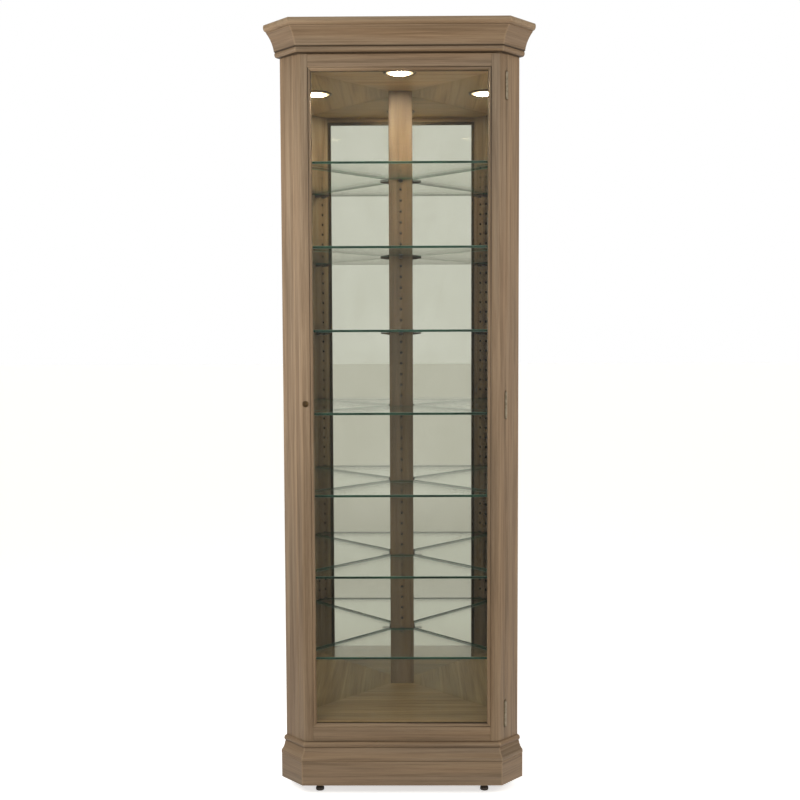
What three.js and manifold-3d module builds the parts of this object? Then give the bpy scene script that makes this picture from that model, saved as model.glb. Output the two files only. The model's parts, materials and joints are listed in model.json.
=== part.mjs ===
// A corner china cabinet: one glazed door between canted returns, two mirrored backs that meet at a
// rear post, seven glass shelves on clips, a ceiling light, a crown, a moulded base and levelling feet.
// Millimetres, +Z up, X across the front, the viewer on -Y. The door's front face is the plane y = 0
// while the pieces are made; the whole group is then moved so that the origin is under its middle.
import * as THREE from 'three';
import { mergeGeometries, mergeVertices } from 'three/addons/utils/BufferGeometryUtils.js';
import Module from 'manifold-3d';

// ---- driving dimensions ----
const HEIGHT = 1894;
const GAP = 0.3; // clearance between neighbouring pieces
const ROOT2 = Math.SQRT2;

const FRONT_HALF = 243; // half the width of the flat front
const RETURN_RUN = 52; // each 45 degree return runs this far in X and in Y
const WALL_SUM = FRONT_HALF + 2 * RETURN_RUN; // the two back planes are |x| + y = WALL_SUM
const POST_REAR = 322; // rear face of the rear post
const POST_REAR_HALF = WALL_SUM - POST_REAR;

const PANEL_THICK = 25;
const LIP_THICK = 10; // outer lip of the side panel, behind which the back is let in
const MIRROR_SUM = 334; // the mirrors' reflecting faces are |x| + y = MIRROR_SUM
const MIRROR_THICK = 3;
const BACK_THICK = 4.8;
const POST_FACE_HALF = 31.7;
const POST_LAP = 8; // how far each back panel laps over the post

const DOOR_THICK = 16;
const DOOR_GAP = 1.2; // between the door's back and the case
const CASE_FRONT = DOOR_THICK + DOOR_GAP;
const DOOR_BOTTOM = 127.3;
const DOOR_TOP = 1820.4;
const SIGHT_HALF = 213.8;
const SIGHT_BOTTOM = 170.8;
const SIGHT_TOP = 1781;
const STICKING = 8.9; // width of the moulded inner edge of the door frame
const GLASS_FRONT = 7.9;
const GLASS_THICK = 4;
const GLASS_REACH = 8.2; // how far the pane goes behind the moulded edge

const FLOOR_TOP = 173;
const FLOOR_THICK = 20;
const CEILING = 1802;
const CEILING_THICK = 19;

const CASE_BOTTOM = 20;
const BACK_BOTTOM = 40; // of the back panels and the apron
const SKIRT_BOTTOM = 19.6;
const SKIRT_TOP = 80.1;
const SKIRT_OUT = 16.2;
const BASE_TOP = SKIRT_TOP + 45.7;
const CROWN_BOTTOM = 1821.9;
const CAP_BOTTOM = CROWN_BOTTOM + 56;
const CAP_OUT = 50;
const CASE_TOP = CAP_BOTTOM - GAP;

const HOLE_PITCH = 29.5;
const HOLE_COUNT = 43;
const HOLES_PER_BAY = 7;
const TOP_HOLE_Z = 1567.7;
const HOLE_RADIUS = 2.9;
const HOLE_DEPTH = 10;
const HOLE_COLUMNS = [21, 45]; // along the side panel's inner face, from its front edge
const SHELF_COUNT = 7;
const SHELF_THICK = 6;
const SHELF_FRONT = 33;
const SHELF_BELOW_PIN = 3.7; // the glass's underside, below the clip's pin
const SHELF_CLEAR = 3.4; // from the side panels and the post
const SHELF_MIRROR_CLEAR = 2;

const LIGHT_Y = 106;
const LENS_RADIUS = 34;
const LENS_DROP = 4.2; // how far the lens's dome hangs below the ceiling

const HINGE_CENTRES = [1747, 970, 192];
const HINGE_NAMES = ['top', 'middle', 'bottom'];
const HINGE_X = 260;
const HINGE_Y = DOOR_THICK + DOOR_GAP / 2 + 0.05;
const HINGE_HALF = 31; // half its length
const KNUCKLE_HALF = 10.7; // half the door leaf's middle knuckle
const KNUCKLE_RADIUS = 3.5;
const PIN_RADIUS = 1.6;
const BORE_RADIUS = 1.75;
const LEAF_THICK = 1.5;
const LEAF_INNER = HINGE_X - 19;
const LEAF_OUTER = HINGE_X - 4;
const SCREW_X = HINGE_X - 12;
const SCREW_STEP = 21;
const SCREW_HOLE = 3.3;

const LOCK_X = -234;
const LOCK_Z = 975;
const CAM_LENGTH = 20;
const CAM_HALF = 3.5;

const STEM_RADIUS = 4;
const STEM_TOP = 48;
const FOOT_BORE_TOP = 60;

// ---- solids ----
const wasm = await Module();
wasm.setup();

function toSolid(geometry) {
  const bare = new THREE.BufferGeometry();
  bare.setAttribute('position', geometry.attributes.position);
  bare.setIndex(geometry.index);
  const merged = mergeVertices(bare, 1e-4);
  return new wasm.Manifold(new wasm.Mesh({
    numProp: 3,
    vertProperties: new Float32Array(merged.attributes.position.array),
    triVerts: new Uint32Array(merged.index.array),
  }));
}

function toGeometry(solid) {
  const mesh = solid.getMesh();
  const geometry = new THREE.BufferGeometry();
  geometry.setAttribute('position', new THREE.BufferAttribute(new Float32Array(mesh.vertProperties), 3));
  geometry.setIndex(new THREE.BufferAttribute(new Uint32Array(mesh.triVerts), 1));
  return geometry;
}

function cut(geometry, tools) {
  let solid = toSolid(geometry);
  for (const tool of tools) solid = solid.subtract(toSolid(tool));
  return toGeometry(solid);
}

function join(geometries) {
  let solid = toSolid(geometries[0]);
  for (const other of geometries.slice(1)) solid = solid.add(toSolid(other));
  return toGeometry(solid);
}

// Tools that cut together, as one geometry of separate solids.
function together(geometries) {
  return mergeGeometries(geometries.map((geometry) => {
    const bare = new THREE.BufferGeometry();
    bare.setAttribute('position', geometry.attributes.position.clone());
    bare.setIndex(geometry.index);
    return mergeVertices(bare, 1e-4);
  }));
}

function box(x0, x1, y0, y1, z0, z1) {
  const geometry = new THREE.BoxGeometry(x1 - x0, y1 - y0, z1 - z0);
  return geometry.translate((x0 + x1) / 2, (y0 + y1) / 2, (z0 + z1) / 2);
}

// An upright prism over a plan outline of [x, y] points.
function prism(outline, z0, z1, holes = []) {
  const shape = new THREE.Shape(outline.map(([x, y]) => new THREE.Vector2(x, y)));
  shape.holes = holes;
  const options = { depth: z1 - z0, bevelEnabled: false, curveSegments: 16 };
  return new THREE.ExtrudeGeometry(shape, options).translate(0, 0, z0);
}

// A turned piece: profile of [radius, height] points about +Z, starting and ending on the axis or closed.
function turned(profile, sides) {
  const geometry = new THREE.LatheGeometry(profile.map(([r, h]) => new THREE.Vector2(r, h)), sides);
  return facingOut(geometry.rotateX(Math.PI / 2));
}

// A solid between two matching rings of points. The section gives the rings' flat outline for the caps.
function loft(ringA, ringB, section) {
  const count = ringA.length;
  const caps = THREE.ShapeUtils.triangulateShape(section.map(([u, v]) => new THREE.Vector2(u, v)), []);
  const index = [];
  for (const [a, b, c] of caps) {
    index.push(a, b, c);
    index.push(count + c, count + b, count + a);
  }
  for (let i = 0; i < count; i += 1) {
    const next = (i + 1) % count;
    index.push(next, i, count + i);
    index.push(next, count + i, count + next);
  }
  const geometry = new THREE.BufferGeometry();
  geometry.setAttribute('position', new THREE.Float32BufferAttribute([...ringA, ...ringB].flat(), 3));
  geometry.setIndex(index);
  return facingOut(geometry);
}

// The same solid with its faces pointing out, whichever way its points were listed.
function facingOut(geometry) {
  const a = new THREE.Vector3();
  const b = new THREE.Vector3();
  const c = new THREE.Vector3();
  const position = geometry.attributes.position;
  const array = geometry.index.array;
  let volume = 0;
  for (let i = 0; i < array.length; i += 3) {
    a.fromBufferAttribute(position, array[i]);
    b.fromBufferAttribute(position, array[i + 1]);
    c.fromBufferAttribute(position, array[i + 2]);
    volume += a.dot(b.cross(c));
  }
  if (volume < 0) {
    for (let i = 0; i < array.length; i += 3) [array[i], array[i + 1]] = [array[i + 1], array[i]];
  }
  return geometry;
}

// ---- the plan ----
// On the right (side = 1) a plan point is given by sum = x + y and rise = y - x; the left is its mirror.
function slant(sum, rise, side) {
  return [side * (sum - rise) / 2, (sum + rise) / 2];
}

// The body's outline moved out by d: the corner of front and return, and the return's end at the wall.
function frontCorner(d, side, back = 0) {
  return [side * (FRONT_HALF + d * Math.tan(Math.PI / 8) + back), -d];
}

function wallCorner(d, side) {
  return [side * (FRONT_HALF + RETURN_RUN + d / ROOT2), RETURN_RUN - d / ROOT2];
}

const PANEL_OUTER_RISE = -FRONT_HALF;
const PANEL_INNER_RISE = PANEL_OUTER_RISE + PANEL_THICK * ROOT2;
const LIP_RISE = PANEL_OUTER_RISE + LIP_THICK * ROOT2;
const SHOULDER_SUM = MIRROR_SUM - GAP * ROOT2;
const BACK_FRONT_SUM = MIRROR_SUM + (MIRROR_THICK + GAP) * ROOT2;
const BACK_REAR_SUM = BACK_FRONT_SUM + BACK_THICK * ROOT2;
const POST_FACE_Y = MIRROR_SUM - POST_FACE_HALF;
const POST_SIDE_RISE = POST_FACE_Y - POST_FACE_HALF;
const POST_LAP_RISE = POST_SIDE_RISE + POST_LAP * ROOT2;

function mirrored(right) {
  const left = right.map(([x, y]) => [-x, y]).reverse();
  return [...right, ...left];
}

// A mitred moulding around the front and returns, from a section of [out, height] points.
function mouldingFront(section) {
  const ends = [-1, 1].map((side) => section.map(([d, z]) => [...frontCorner(d, side, -GAP / 2), z]));
  return loft(ends[0], ends[1], section);
}

function mouldingReturn(section, side) {
  const front = section.map(([d, z]) => [...frontCorner(d, side, GAP / 2), z]);
  const wall = section.map(([d, z]) => [...wallCorner(d, side), z]);
  return loft(front, wall, section);
}

// Points of a circular arc between two section points, bowed by sag to the right of the way from a to b.
function bow(a, b, sag, steps) {
  const [dx, dz] = [b[0] - a[0], b[1] - a[1]];
  const chord = Math.hypot(dx, dz);
  const radius = (chord * chord / 4 + sag * sag) / (2 * Math.abs(sag));
  const half = Math.asin(chord / (2 * radius));
  const points = [];
  for (let i = 0; i <= steps; i += 1) {
    const angle = half * (2 * i / steps - 1);
    const along = 0.5 + radius * Math.sin(angle) / chord;
    const out = Math.sign(sag) * radius * (Math.cos(angle) - Math.cos(half)) / chord;
    points.push([a[0] + along * dx + out * dz, a[1] + along * dz - out * dx]);
  }
  return points;
}

// ---- scene graph ----
const group = new THREE.Group();
group.position.y = -(POST_REAR - CAP_OUT) / 2;

const WOOD = { color: 0x917959, roughness: 0.6, metalness: 0 };
const WOOD_INNER = { color: 0x7d6c55, roughness: 0.65, metalness: 0 };
const PLY = { color: 0x8a7a63, roughness: 0.8, metalness: 0 };
const GLASS = { color: 0xcfe3d8, roughness: 0.05, metalness: 0, transparent: true, opacity: 0.35 };
const MIRROR = { color: 0xe4e8e2, roughness: 0.02, metalness: 1 };
const BRONZE = { color: 0x5a4a38, roughness: 0.4, metalness: 1 };
const NICKEL = { color: 0xa39c8e, roughness: 0.35, metalness: 1 };
const DARK_PLASTIC = { color: 0x1d1b19, roughness: 0.55, metalness: 0 };
const WHITE_METAL = { color: 0xd8d4c8, roughness: 0.4, metalness: 0.2 };
const LENS = { color: 0xfff2d8, roughness: 0.6, metalness: 0, emissive: 0xfff0d0 };

function add(name, geometry, look) {
  geometry.computeVertexNormals();
  const mesh = new THREE.Mesh(geometry, new THREE.MeshStandardMaterial(look));
  mesh.name = name;
  group.add(mesh);
}

const SIDES = [['left', -1], ['right', 1]];

// ---- case ----
function holePoint(along, side) {
  const y = CASE_FRONT + along / ROOT2;
  return [side * (y - PANEL_INNER_RISE), y];
}

// A hexagonal peg from [x, y, z], running along a level direction given by its angle in plan.
function peg(radius, length, x, y, z, angle, sides = 6) {
  const geometry = new THREE.CylinderGeometry(radius, radius, length, sides);
  geometry.rotateZ(-Math.PI / 2).translate(length / 2, 0, 0);
  return geometry.rotateZ(angle).translate(x, y, z);
}

function outwardAngle(side) {
  return side > 0 ? -Math.PI / 4 : -3 * Math.PI / 4;
}

function holeColumn(x, y, angle) {
  const start = [x - Math.cos(angle), y - Math.sin(angle)];
  const holes = [];
  for (let i = 0; i < HOLE_COUNT; i += 1) {
    holes.push(peg(HOLE_RADIUS, HOLE_DEPTH + 1, start[0], start[1], TOP_HOLE_Z - i * HOLE_PITCH, angle));
  }
  return together(holes);
}

function hingeRelief() {
  const radius = KNUCKLE_RADIUS + 0.6;
  return HINGE_CENTRES.map((z) => {
    const knuckle = new THREE.CylinderGeometry(radius, radius, 2 * HINGE_HALF + 8, 16);
    return knuckle.rotateX(Math.PI / 2).translate(HINGE_X, HINGE_Y, z);
  });
}

const CASE_LEAF_FRONT = CASE_FRONT - 0.4;
const DOOR_LEAF_FRONT = DOOR_THICK - 1;
const STRIKE_HEIGHTS = [LOCK_Z - 22, LOCK_Z + 28]; // of its two screws
const STRIKE_SCREW_X = LOCK_X - 16.6;

// The levelling feet screw up into the bottom edges of the base rail and the post.
const REAR_FOOT = [0, 311];
const FRONT_FOOT_X = 207;

function frontFoot(side) {
  return [side * FRONT_FOOT_X, (CASE_FRONT - GAP) / 2];
}

function footBore(x, y) {
  const length = FOOT_BORE_TOP - CASE_BOTTOM + 1;
  const bore = new THREE.CylinderGeometry(STEM_RADIUS + 0.6, STEM_RADIUS + 0.6, length, 12);
  return bore.rotateX(Math.PI / 2).translate(x, y, FOOT_BORE_TOP - length / 2);
}

function sidePanel(side) {
  const outline = [
    [side * (CASE_FRONT - PANEL_OUTER_RISE), CASE_FRONT],
    slant(WALL_SUM, PANEL_OUTER_RISE, side),
    slant(WALL_SUM, LIP_RISE, side),
    slant(SHOULDER_SUM, LIP_RISE, side),
    slant(SHOULDER_SUM, PANEL_INNER_RISE, side),
    [side * (CASE_FRONT - PANEL_INNER_RISE), CASE_FRONT],
  ];
  const tools = HOLE_COLUMNS.map((along) => holeColumn(...holePoint(along, side), outwardAngle(side)));
  if (side > 0) {
    tools.push(...hingeRelief());
    for (const z of HINGE_CENTRES) {
      tools.push(box(LEAF_INNER - 0.4, HINGE_X - 2, CASE_FRONT - 1, CASE_LEAF_FRONT + LEAF_THICK + GAP,
        z - HINGE_HALF - GAP, z + HINGE_HALF + GAP));
    }
  } else {
    const face = CASE_FRONT - 1;
    tools.push(box(LOCK_X - 23, LOCK_X + 14, face, CASE_FRONT + 5.8, LOCK_Z - 14, LOCK_Z + 22));
    tools.push(box(LOCK_X - 24.4, LOCK_X - 8, face, CASE_FRONT + 0.9, LOCK_Z - 29, LOCK_Z + 36));
  }
  return cut(prism(outline, CASE_BOTTOM, CASE_TOP), tools);
}

function rearPost() {
  const right = [
    [POST_FACE_HALF, POST_FACE_Y],
    slant(BACK_FRONT_SUM - GAP, POST_SIDE_RISE, 1),
    slant(BACK_FRONT_SUM - GAP, POST_LAP_RISE, 1),
    slant(WALL_SUM, POST_LAP_RISE, 1),
    [POST_REAR_HALF, POST_REAR],
  ];
  return cut(prism(mirrored(right), CASE_BOTTOM, CASE_TOP), [
    holeColumn(0, POST_FACE_Y, Math.PI / 2),
    footBore(...REAR_FOOT),
  ]);
}

// Bottom and top boards fill the plan between the side panels, the back panels and the post.
function boardOutline() {
  const side = PANEL_INNER_RISE + GAP * ROOT2;
  const back = BACK_FRONT_SUM - GAP * ROOT2;
  return mirrored([
    [CASE_FRONT - side, CASE_FRONT],
    slant(back, side, 1),
    slant(back, POST_SIDE_RISE - GAP * ROOT2, 1),
    [POST_FACE_HALF - GAP, POST_FACE_Y - GAP],
  ]);
}

function circleHole(radius, x, y) {
  return new THREE.Path().absarc(x, y, radius, 0, 2 * Math.PI, true);
}

// The front rails above and below the door share its plan, bevelled at 45 degrees into the returns.
function frontRail(z0, z1) {
  const back = DOOR_THICK + DOOR_GAP - GAP;
  return prism(mirrored([[FRONT_HALF, 0], [FRONT_HALF + back, back]]), z0, z1);
}

function slab(sum0, sum1, rise0, rise1, side, z0, z1) {
  const outline = [slant(sum0, rise0, side), slant(sum0, rise1, side), slant(sum1, rise1, side),
    slant(sum1, rise0, side)];
  return prism(outline, z0, z1);
}

const GROMMET_Z = CROWN_BOTTOM + 26;
const GROMMET_RISE = 90;
const GROMMET_HOLE = 7.3;

function backPanel(side) {
  const front = LIP_RISE + GAP * ROOT2;
  const rear = POST_LAP_RISE - GAP * ROOT2;
  const panel = slab(BACK_FRONT_SUM, BACK_REAR_SUM, front, rear, side, BACK_BOTTOM, CASE_TOP);
  if (side < 0) return panel;
  const [x, y] = slant(BACK_FRONT_SUM - 3, GROMMET_RISE, side);
  return cut(panel, [peg(GROMMET_HOLE, 12, x, y, GROMMET_Z, Math.PI / 4, 16)]);
}

function mirror(side) {
  const back = MIRROR_SUM + MIRROR_THICK * ROOT2;
  const front = LIP_RISE + 2 * GAP * ROOT2;
  const rear = POST_SIDE_RISE - 2 * GAP * ROOT2;
  return slab(MIRROR_SUM, back, front, rear, side, FLOOR_TOP + GAP, CEILING - 2 * GAP);
}

for (const [word, side] of SIDES) {
  add(`${word}_side_panel`, sidePanel(side), WOOD);
  add(`${word}_back_panel`, backPanel(side), PLY);
  add(`${word}_mirror`, mirror(side), MIRROR);
}
add('rear_post', rearPost(), WOOD_INNER);
add('bottom_board', prism(boardOutline(), FLOOR_TOP - FLOOR_THICK, FLOOR_TOP), WOOD_INNER);
const lightHole = circleHole(LENS_RADIUS + 2, 0, LIGHT_Y);
add('top_board', prism(boardOutline(), CEILING, CEILING + CEILING_THICK, [lightHole]), WOOD_INNER);
add('header_rail', frontRail(CROWN_BOTTOM, CASE_TOP), WOOD);
const frontBores = [-1, 1].map((side) => footBore(...frontFoot(side)));
add('base_rail', cut(frontRail(CASE_BOTTOM, BASE_TOP), frontBores), WOOD);

// The apron stands behind the base rail and carries the front of the bottom board.
const APRON_HALF = 222;
const APRON_BACK = CASE_FRONT + 18;
const APRON_TOP = FLOOR_TOP - FLOOR_THICK - GAP;
add('floor_apron', box(-APRON_HALF, APRON_HALF, CASE_FRONT, APRON_BACK, BACK_BOTTOM, APRON_TOP), WOOD_INNER);

// ---- crown and base ----
const crownSection = [
  [0, 0],
  ...bow([11, 0], [13.6, 11.6], 3.2, 4),
  [17, 12.2],
  ...bow([17.4, 15.6], [40.5, 54], -3.6, 6),
  [40.5, CASE_TOP - CROWN_BOTTOM],
  [0, CASE_TOP - CROWN_BOTTOM],
].map(([d, z]) => [d + GAP, CROWN_BOTTOM + z]);

const baseSection = [
  [0, 0],
  [16.7, 0],
  [16.7, 10.2],
  ...bow([14.1, 11], [14.1, 17], 1.5, 4),
  ...bow([12.3, 17.4], [5.4, 28.6], -1.2, 3),
  [4.4, 35],
  ...bow([3.3, 36.8], [3.3, 45], 4, 5),
  [0, BASE_TOP - SKIRT_TOP - GAP],
].map(([d, z]) => [d + GAP, SKIRT_TOP + GAP + z]);

const skirtSection = [
  [GAP, SKIRT_BOTTOM],
  [SKIRT_OUT, SKIRT_BOTTOM],
  [SKIRT_OUT, SKIRT_TOP],
  [GAP, SKIRT_TOP],
];

const mouldings = { crown: crownSection, base_moulding: baseSection, skirt: skirtSection };
for (const [name, section] of Object.entries(mouldings)) {
  add(`${name}_front`, mouldingFront(section), WOOD);
  for (const [word, side] of SIDES) add(`${name}_${word}`, mouldingReturn(section, side), WOOD);
}

// The cap's rounded nose follows the front and returns; its rear edges lie in the wall planes.
function capGeometry() {
  const nose = [[-7.5, 0], [-2.8, 2.3], [0, 7.7], [-0.5, 12.9], [-1.9, HEIGHT - CAP_BOTTOM]]
    .map(([d, z]) => [CAP_OUT + d, CAP_BOTTOM + z]);
  const rings = nose.map(([d, z]) => {
    const outline = mirrored([frontCorner(d, 1), wallCorner(d, 1), [POST_REAR_HALF, POST_REAR]]);
    return outline.map(([x, y]) => [x, y, z]);
  });
  const layers = [];
  for (let i = 0; i + 1 < rings.length; i += 1) layers.push(loft(rings[i], rings[i + 1], rings[i]));
  return join(layers);
}
add('crown_cap', capGeometry(), WOOD);

// ---- shelves ----
// Each rests on five clips, whose pins sit in the hole columns; the clips are too many to be nodes here.
function shelfOutline() {
  const side = PANEL_INNER_RISE + SHELF_CLEAR * ROOT2;
  const back = MIRROR_SUM - SHELF_MIRROR_CLEAR * ROOT2;
  const rear = POST_FACE_Y - SHELF_CLEAR;
  return mirrored([[SHELF_FRONT - side, SHELF_FRONT], slant(back, side, 1), [back - rear, rear]]);
}

for (let i = 0; i < SHELF_COUNT; i += 1) {
  const bottom = TOP_HOLE_Z - i * HOLES_PER_BAY * HOLE_PITCH - SHELF_BELOW_PIN;
  add(`shelf_${i + 1}`, prism(shelfOutline(), bottom, bottom + SHELF_THICK), GLASS);
}

// ---- ceiling light ----
const LIGHT_SIDES = 24;
const HOUSING_TOP = CEILING + 59;
const SOCKET_BOTTOM = HOUSING_TOP - 14;

function atLight(geometry) {
  return geometry.translate(0, LIGHT_Y, 0);
}

add('light_housing', atLight(turned([
  [LENS_RADIUS + 1.4, CEILING], [LENS_RADIUS + 1.4, HOUSING_TOP - 3], [LENS_RADIUS - 2, HOUSING_TOP],
  [0, HOUSING_TOP], [0, HOUSING_TOP - 2], [LENS_RADIUS - 3, HOUSING_TOP - 2],
  [LENS_RADIUS, HOUSING_TOP - 5], [LENS_RADIUS + 0.2, CEILING], [LENS_RADIUS + 1.4, CEILING],
], LIGHT_SIDES)), WHITE_METAL);
add('light_trim', atLight(turned([
  [LENS_RADIUS + 0.4, CEILING - GAP], [LENS_RADIUS + 0.4, CEILING - 2.6],
  [LENS_RADIUS + 1.4, CEILING - 3.4], [LENS_RADIUS + 5, CEILING - 3.2],
  [LENS_RADIUS + 7.6, CEILING - 1.6], [LENS_RADIUS + 7.6, CEILING - GAP],
  [LENS_RADIUS + 0.4, CEILING - GAP],
], LIGHT_SIDES)), BRONZE);
add('light_lens', atLight(turned([
  [0, CEILING - LENS_DROP], [13, CEILING - 4], [23, CEILING - 3.4], [30, CEILING - 2.6],
  [LENS_RADIUS, CEILING - 1.6], [LENS_RADIUS, CEILING - GAP], [0, CEILING - GAP],
], LIGHT_SIDES)), LENS);
add('bulb_socket', atLight(turned([
  [0, SOCKET_BOTTOM], [10, SOCKET_BOTTOM], [11, SOCKET_BOTTOM + 1], [11, HOUSING_TOP - 2 - GAP],
  [0, HOUSING_TOP - 2 - GAP],
], LIGHT_SIDES)), WHITE_METAL);
add('light_bulb', atLight(turned([
  [0, -30], [5, -28.6], [8.4, -25], [9, -20], [9, -8], [6, -4], [6, -GAP], [0, -GAP],
].map(([r, h]) => [r, SOCKET_BOTTOM + h]), 12)), LENS);

// A rubber grommet in the right back panel, where the light's lead leaves the case. Its flange is on the
// inside, so that the back still lies flat against a wall.
function grommet() {
  const front = -1.6;
  const rear = BACK_THICK - GAP;
  const ring = turned([[4.6, front], [9.4, front], [9.4, -GAP], [6.7, -GAP], [6.7, rear], [4.6, rear],
    [4.6, front]], 16);
  const [x, y] = slant(BACK_FRONT_SUM, GROMMET_RISE, 1);
  return ring.rotateY(Math.PI / 2).rotateZ(Math.PI / 4).translate(x, y, GROMMET_Z);
}
add('cord_grommet', grommet(), DARK_PLASTIC);

// ---- door ----
// The moulded edge's section: [u, v] with u out from the opening and v back from the door's front.
const stickingSection = [[0, 7.6], [0, 4.9], [2.2, 4.5], [2.7, 3.3], [3.8, 2.2], [5.4, 1.5], [7.2, 1.2],
  [STICKING, 1.2], [STICKING, 7.6]];

function upright(side) {
  const edge = SIGHT_HALF + STICKING;
  const bevelled = FRONT_HALF + DOOR_THICK;
  const plan = [[edge, 0], [FRONT_HALF, 0], [bevelled, DOOR_THICK], [edge, DOOR_THICK]];
  const body = prism(plan.map(([x, y]) => [side * x, y]), DOOR_BOTTOM, DOOR_TOP);
  const low = stickingSection.map(([u, v]) => [side * (SIGHT_HALF + u), v, SIGHT_BOTTOM - u + GAP / 2]);
  const high = stickingSection.map(([u, v]) => [side * (SIGHT_HALF + u), v, SIGHT_TOP + u - GAP / 2]);
  return join([body, loft(low, high, stickingSection)]);
}

function doorRail(z0, z1, sightZ, outward) {
  const half = SIGHT_HALF + STICKING - GAP;
  const ends = [-1, 1].map((end) => stickingSection.map(([u, v]) => [
    end * (SIGHT_HALF + u - GAP), v, sightZ + outward * u]));
  return join([box(-half, half, 0, DOOR_THICK, z0, z1), loft(ends[0], ends[1], stickingSection)]);
}

function leftStile() {
  const bore = new THREE.CylinderGeometry(6.9, 6.9, 40, 16).translate(LOCK_X, DOOR_THICK / 2, LOCK_Z);
  return cut(upright(-1), [bore]);
}

function rightStile() {
  const tools = hingeRelief();
  for (const z of HINGE_CENTRES) {
    tools.push(box(LEAF_INNER - 0.4, HINGE_X - 2, DOOR_LEAF_FRONT - GAP, DOOR_THICK + 1,
      z - HINGE_HALF - GAP, z + HINGE_HALF + GAP));
  }
  return cut(upright(1), tools);
}

add('door_left_stile', leftStile(), WOOD);
add('door_right_stile', rightStile(), WOOD);
add('door_top_rail', doorRail(SIGHT_TOP + STICKING, DOOR_TOP, SIGHT_TOP, 1), WOOD);
add('door_bottom_rail', doorRail(DOOR_BOTTOM, SIGHT_BOTTOM - STICKING, SIGHT_BOTTOM, -1), WOOD);

const PANE_HALF = SIGHT_HALF + GLASS_REACH;
add('door_glass', box(-PANE_HALF, PANE_HALF, GLASS_FRONT, GLASS_FRONT + GLASS_THICK,
  SIGHT_BOTTOM - GLASS_REACH, SIGHT_TOP + GLASS_REACH), GLASS);

const STOP_FRONT = GLASS_FRONT + GLASS_THICK + GAP;
const STOP_BACK = DOOR_THICK - GAP;
const STOP_IN = 0.4;
const STOP_OUT = STICKING - 0.4;
function stopFrame() {
  const outer = box(-SIGHT_HALF - STOP_OUT, SIGHT_HALF + STOP_OUT, STOP_FRONT, STOP_BACK,
    SIGHT_BOTTOM - STOP_OUT, SIGHT_TOP + STOP_OUT);
  const opening = box(-SIGHT_HALF - STOP_IN, SIGHT_HALF + STOP_IN, 0, 2 * DOOR_THICK,
    SIGHT_BOTTOM - STOP_IN, SIGHT_TOP + STOP_IN);
  return cut(outer, [opening]);
}
add('glazing_frame', stopFrame(), WOOD_INNER);

// ---- hinges ----
const KNUCKLE_SIDES = 12;

function knuckle(z0, z1) {
  const ring = turned([[BORE_RADIUS, z0], [KNUCKLE_RADIUS, z0], [KNUCKLE_RADIUS, z1], [BORE_RADIUS, z1],
    [BORE_RADIUS, z0]], KNUCKLE_SIDES);
  return ring.translate(HINGE_X, HINGE_Y, 0);
}

// A leaf is a plate let into the wood, with a tongue out to each of its own knuckles.
function leaf(z, front, spans) {
  const back = front + LEAF_THICK;
  const tongue = HINGE_X - (BORE_RADIUS + KNUCKLE_RADIUS) / 2;
  const pieces = [box(LEAF_INNER, LEAF_OUTER, front, back, z - HINGE_HALF, z + HINGE_HALF)];
  for (const [low, high] of spans) {
    pieces.push(box(LEAF_OUTER - 1, tongue, front, back, z + low, z + high));
    pieces.push(knuckle(z + low, z + high));
  }
  const holes = [-SCREW_STEP, 0, SCREW_STEP].map((step) => (
    peg(SCREW_HOLE, 3 * LEAF_THICK, SCREW_X, front - LEAF_THICK, z + step, Math.PI / 2, 8)));
  return cut(join(pieces), holes);
}

function hingePin(z) {
  const tip = HINGE_HALF + GAP;
  return turned([[0, -tip - 2.4], [2.2, -tip - 1.8], [3.2, -tip], [PIN_RADIUS, -tip], [PIN_RADIUS, tip],
    [3.2, tip], [2.2, tip + 1.8], [0, tip + 2.4]], KNUCKLE_SIDES).translate(HINGE_X, HINGE_Y, z);
}

const END_SPANS = [[-HINGE_HALF, -KNUCKLE_HALF - GAP], [KNUCKLE_HALF + GAP, HINGE_HALF]];
const MIDDLE_SPAN = [[-KNUCKLE_HALF, KNUCKLE_HALF]];
HINGE_CENTRES.forEach((z, i) => {
  add(`hinge_case_leaf_${HINGE_NAMES[i]}`, leaf(z, CASE_LEAF_FRONT, END_SPANS), NICKEL);
  add(`hinge_door_leaf_${HINGE_NAMES[i]}`, leaf(z, DOOR_LEAF_FRONT, MIDDLE_SPAN), NICKEL);
  add(`hinge_pin_${HINGE_NAMES[i]}`, hingePin(z), NICKEL);
});

// ---- lock ----
function alongY(geometry) {
  return geometry.rotateX(-Math.PI / 2).translate(LOCK_X, 0, LOCK_Z);
}

const PLUG_BACK = 18.2;
const TANG_RADIUS = 2.4;
add('lock_housing', alongY(turned([[4.9, -2.4], [7.2, -2.4], [7.7, -1.8], [7.7, -GAP], [6.4, -GAP],
  [6.4, PLUG_BACK - GAP], [4.9, PLUG_BACK - GAP], [4.9, -2.4]], 20)), BRONZE);
add('lock_nut', cut(alongY(turned([[0, DOOR_THICK + GAP], [8.6, DOOR_THICK + GAP], [8.6, PLUG_BACK - GAP],
  [0, PLUG_BACK - GAP]], 6)), [peg(6.75, 9, LOCK_X, DOOR_THICK - 3, LOCK_Z, Math.PI / 2, 20)]), NICKEL);

function lockPlug() {
  const body = alongY(turned([[0, -2.8], [4, -2.8], [4.5, -2.3], [4.5, PLUG_BACK], [TANG_RADIUS, PLUG_BACK],
    [TANG_RADIUS, PLUG_BACK + 3.2], [0, PLUG_BACK + 3.2]], 16));
  return cut(body, [box(LOCK_X - 0.7, LOCK_X + 0.7, -4, 5, LOCK_Z - 2.8, LOCK_Z + 2.8)]);
}
add('lock_plug', lockPlug(), BRONZE);

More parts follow.
